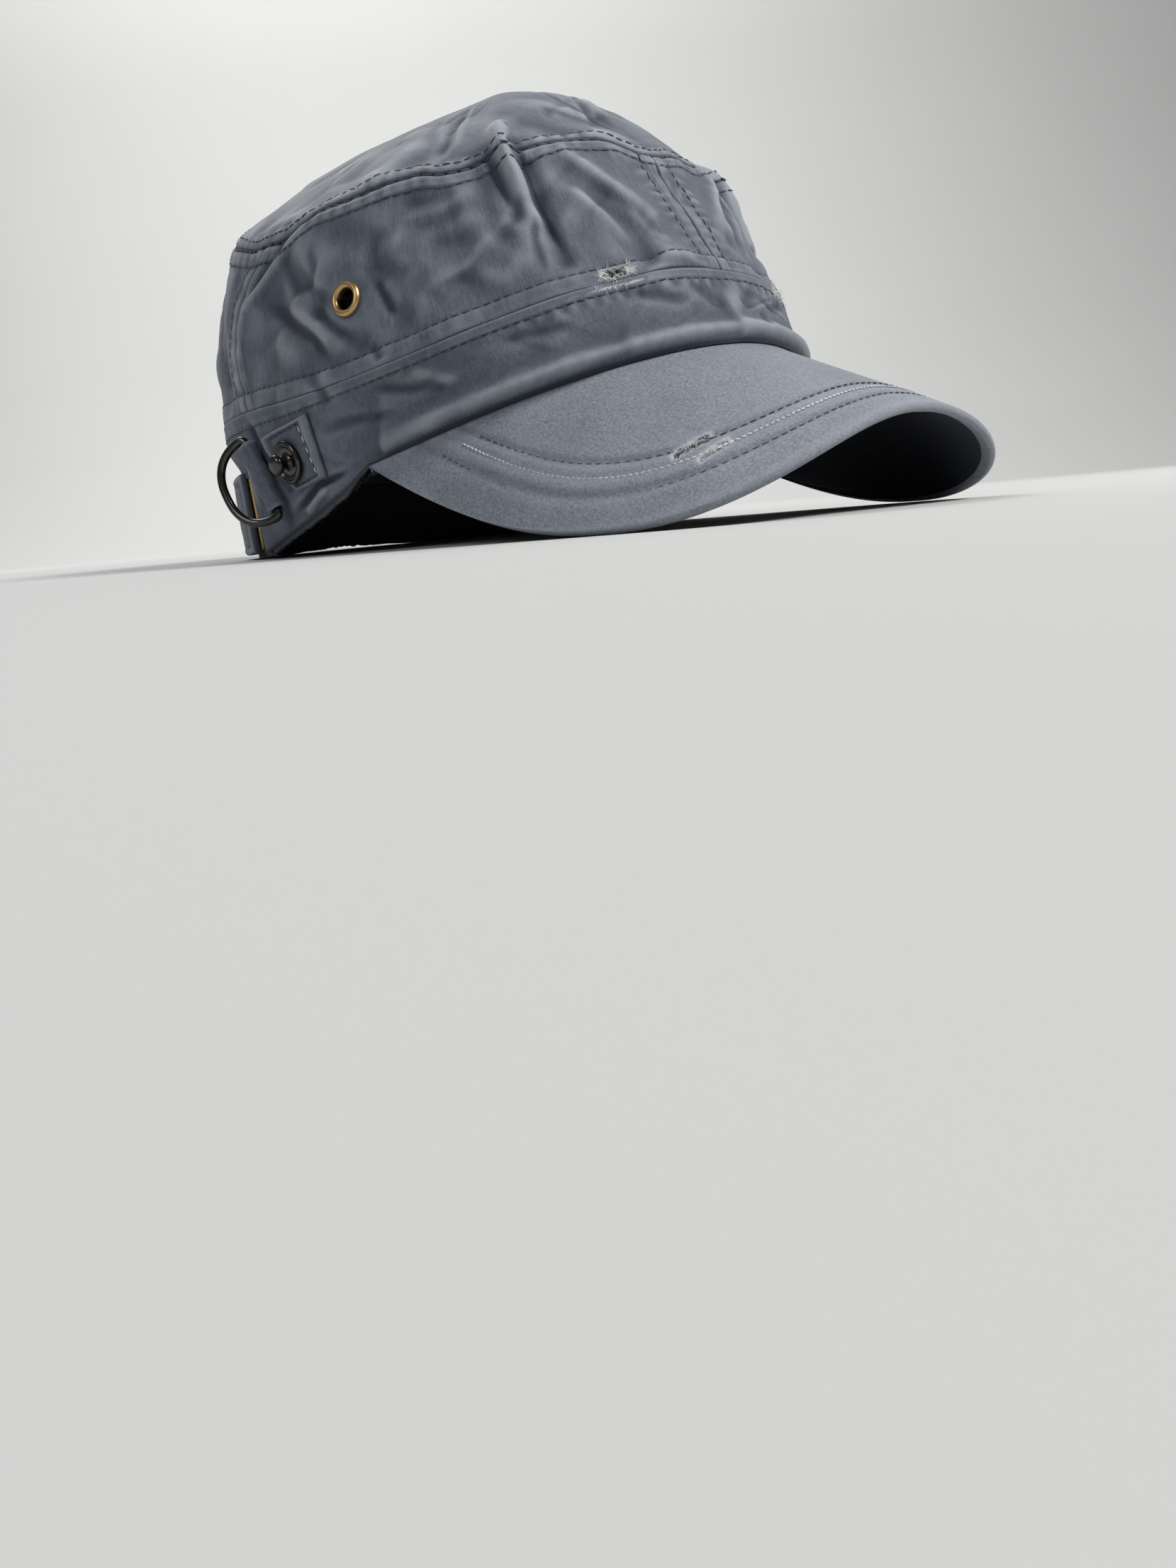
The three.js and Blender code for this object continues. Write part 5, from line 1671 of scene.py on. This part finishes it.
def frayPiece(name, spots, thread, seed, count, length, lift=0.45):
    rng = np.random.default_rng(seed)
    at, normal, spread = spots
    pick = rng.integers(0, len(at), count)
    base, up = at[pick], unit(normal[pick])
    side = unit(np.cross(up, rng.normal(size=(count, 3))))
    lifted = side + up * rng.uniform(-0.15, lift, (count, 1))
    lean = unit(lifted + spread[pick] * rng.uniform(0, 0.9, (count, 1)))
    bend = unit(np.cross(lean, up)) * rng.normal(0, 0.45, (count, 1)) + up * rng.normal(0, 0.2, (count, 1))
    size = rng.uniform(0.35, 1, (count, 1)) * length
    steps = np.linspace(0, 1, fibreForm["joints"])
    path = base[:, None] - up[:, None] * 0.15 + (lean * size)[:, None] * steps[None, :, None]
    path = path + (bend * size)[:, None] * (steps ** 2)[None, :, None]
    thick = fibreForm["radius"] * (1 - 0.7 * steps) * rng.uniform(0.6, 1.2, (count, 1))
    sides = fibreForm["sides"]
    turns = np.arange(sides) * 2 * math.pi / sides
    across = unit(np.cross(lean, up))
    section = across[:, None] * np.cos(turns)[None, :, None] + up[:, None] * np.sin(turns)[None, :, None]
    points = path[:, :, None] + section[:, None] * thick[:, :, None, None]
    ids = np.arange(points.size // 3).reshape(count, len(steps), sides)
    ring = np.concatenate([ids, ids[:, :, :1]], 2)
    corners = [ring[:, :-1, :-1], ring[:, 1:, :-1], ring[:, 1:, 1:], ring[:, :-1, 1:]]
    quads = np.stack(corners, -1).reshape(-1, 4)
    triangles = np.concatenate([ids[:, 0, :], ids[:, -1, ::-1]])
    piece = addObject(name, buildMesh(name, points.reshape(-1, 3), quads, triangles=triangles))
    outwardNormals(piece)
    return finishPiece(piece, finishes[thread])


# Points round the edge of a tear, with the way into the gap as their spread
def tearSpots(tear, pointAt):
    count = 90
    turns = np.linspace(0, 2 * math.pi, count, endpoint=False)
    x, y = tear["half"][0] * np.cos(turns) * 1.1, tear["half"][1] * np.sin(turns) * 1.15
    angle = tear["angle"] + x / capForm["perDegree"]
    level = tear["level"] + y / capForm["perLevel"]
    normal = outward(angle, level)
    points = pointAt(angle, level)
    inside = unit(points.mean(0) - points)
    ends = np.repeat(np.arange(count), np.where(np.abs(np.cos(turns)) > 0.75, 4, 1))
    return points[ends], normal[ends], inside[ends]


def peakTearSpots(tear):
    count = 40
    along = np.linspace(-0.05, 1.05, count)[:, None]
    a, b = np.array(tear["a"]), np.array(tear["b"])
    across = unit(np.array([b[1] - a[1], a[0] - b[0]]))
    rows = [lerp(a, b, along) + across * tear["width"] * way for way in (-1.1, 1.1)]
    points, normal = onPeak(*np.concatenate(rows).T)
    way = np.repeat([1.0, -1.0], count)[:, None] * np.append(across, 0)
    return points, normal, way


frayPiece("crown_fray", tearSpots(bandTears[0], crownPoint), "tornThread",
          seed=81, count=170, length=2.6)
frayPiece("band_fray", tearSpots(bandTears[1], bandPoint), "tornThread",
          seed=82, count=110, length=1.7, lift=0.3)
frayPiece("band_fray_front", tearSpots(bandTears[2], bandPoint), "tornThread",
          seed=83, count=150, length=3.4, lift=0.8)
frayPiece("peak_fray_inner", peakTearSpots(peakTears[0]), "tornThread",
          seed=84, count=130, length=2.4)
frayPiece("peak_fray_outer", peakTearSpots(peakTears[1]), "tornThread",
          seed=85, count=110, length=1.8, lift=0.3)


# The sweatband's lower edge has come undone below each tab
def looseEdge():
    angle = np.concatenate([np.linspace(-104, -74, 160), np.linspace(74, 104, 160)])
    level = 0.0 * angle
    points = standing(angle, level, 0 * angle - (capForm["bandWall"] + 0.8))
    points[:, 2] = np.maximum(hemHeight(angle) - 0.8, 0.6)
    normal = outward(angle, level + 0.1)
    return points, normal, np.tile([0, 0, -1.4], (len(angle), 1))


frayPiece("sweatband_fray", looseEdge(), "darkThread",
          seed=86, count=500, length=1.6, lift=0.2)
print("torn threads made")


# Floor, light and camera
floorFinish = Finish("floorPaint")
floorSpace = floorFinish.add("ShaderNodeTexCoord", {}, {}, "Object")
floorCloud = floorFinish.noise(floorSpace, 3, 2)
floorMaterial = floorFinish.surface({
    "Base Color": floorFinish.mixed(floorCloud, (0.5, 0.505, 0.5, 1), (0.53, 0.535, 0.53, 1)),
    "Roughness": 0.9, "Specular IOR Level": 0.2,
})


# Angles in degrees, place in metres, lens in mm
viewForm = {"turn": -43.133, "down": 12.876, "roll": -5.144, "place": (-0.25924, -0.27917, 0.005),
            "lens": 26.997}
sweepForm = {"halfWidth": 6000, "near": -3000, "far": 2200, "radius": 900, "height": 4200}


# A floor that rises in a curve behind the cap, square to the camera's view
def studioSweep():
    halfWidth, near, far, radius, height = sweepForm.values()
    profile = [(near, 0), (far - radius, 0)]
    profile += [(far - radius + radius * math.sin(t), radius - radius * math.cos(t))
                for t in np.linspace(0, math.pi / 2, 24)[1:]]
    profile += [(far, height)]
    view = math.radians(viewForm["turn"])
    away = np.array([-math.sin(view), math.cos(view), 0])
    across = np.array([math.cos(view), math.sin(view), 0])
    rise = np.array([0, 0, 1])
    points = np.array([away * d + across * w + rise * z for d, z in profile for w in (-halfWidth, halfWidth)])
    points[:, 1] -= capForm["shiftY"]
    quads = np.array([(2 * k, 2 * k + 1, 2 * k + 3, 2 * k + 2) for k in range(len(profile) - 1)])
    sweep = addObject("studioFloor", buildMesh("studioFloor", points, quads))
    sweep.data.materials.append(floorMaterial)


def photoCamera():
    turn, down, roll = (math.radians(viewForm[k]) for k in ("turn", "down", "roll"))
    back = Vector((math.sin(turn) * math.cos(down), -math.cos(turn) * math.cos(down), math.sin(down)))
    right = (-back).cross(Vector((0, 0, 1))).normalized()
    up = right.cross(-back)
    rolledRight = right * math.cos(roll) + up * math.sin(roll)
    rolledUp = up * math.cos(roll) - right * math.sin(roll)
    data = bpy.data.cameras.new("photoCamera")
    data.sensor_fit = "VERTICAL"
    data.sensor_height = 36.0
    data.lens = viewForm["lens"]
    data.clip_start = 0.002
    camera = addObject("photoCamera", data)
    axes = Matrix((rolledRight, rolledUp, back)).transposed().to_4x4()
    camera.matrix_world = Matrix.Translation(viewForm["place"]) @ axes
    bpy.context.scene.camera = camera


lamps = [
    {"name": "keyLamp", "from": (0.4, -0.95, 1.05), "to": (0, 0, 0.06), "size": 0.5,
     "power": 20.0, "tint": (1, 0.985, 0.96)},
    {"name": "sideLamp", "from": (-1.3, -0.2, 0.9), "to": (0, 0, 0.05), "size": 0.7,
     "power": 5.0, "tint": (0.94, 0.97, 1)},
    {"name": "backLamp", "from": (0.2, 1.0, 1.3), "to": (0, 0, 0.08), "size": 0.8,
     "power": 7.0, "tint": (1, 1, 1)},
    {"name": "wallLamp", "from": (0.5, 1.1, 1.9), "to": (1.3, 1.7, 1.0), "size": 1.6,
     "power": 42.0, "tint": (1, 1, 0.98)},
]


def studioLight():
    for lamp in lamps:
        data = bpy.data.lights.new(lamp["name"], "AREA")
        data.size, data.energy, data.color = lamp["size"], lamp["power"], lamp["tint"]
        thing = addObject(lamp["name"], data)
        thing.location = lamp["from"]
        thing.rotation_euler = (Vector(lamp["to"]) - Vector(lamp["from"])).to_track_quat("-Z", "Y").to_euler()
    world = bpy.data.worlds.new("studioAir")
    world.use_nodes = True
    world.node_tree.nodes["Background"].inputs["Color"].default_value = (0.86, 0.88, 0.9, 1)
    world.node_tree.nodes["Background"].inputs["Strength"].default_value = 0.22
    bpy.context.scene.world = world
    bpy.context.scene.view_settings.view_transform = "Standard"


studioSweep()
photoCamera()
studioLight()
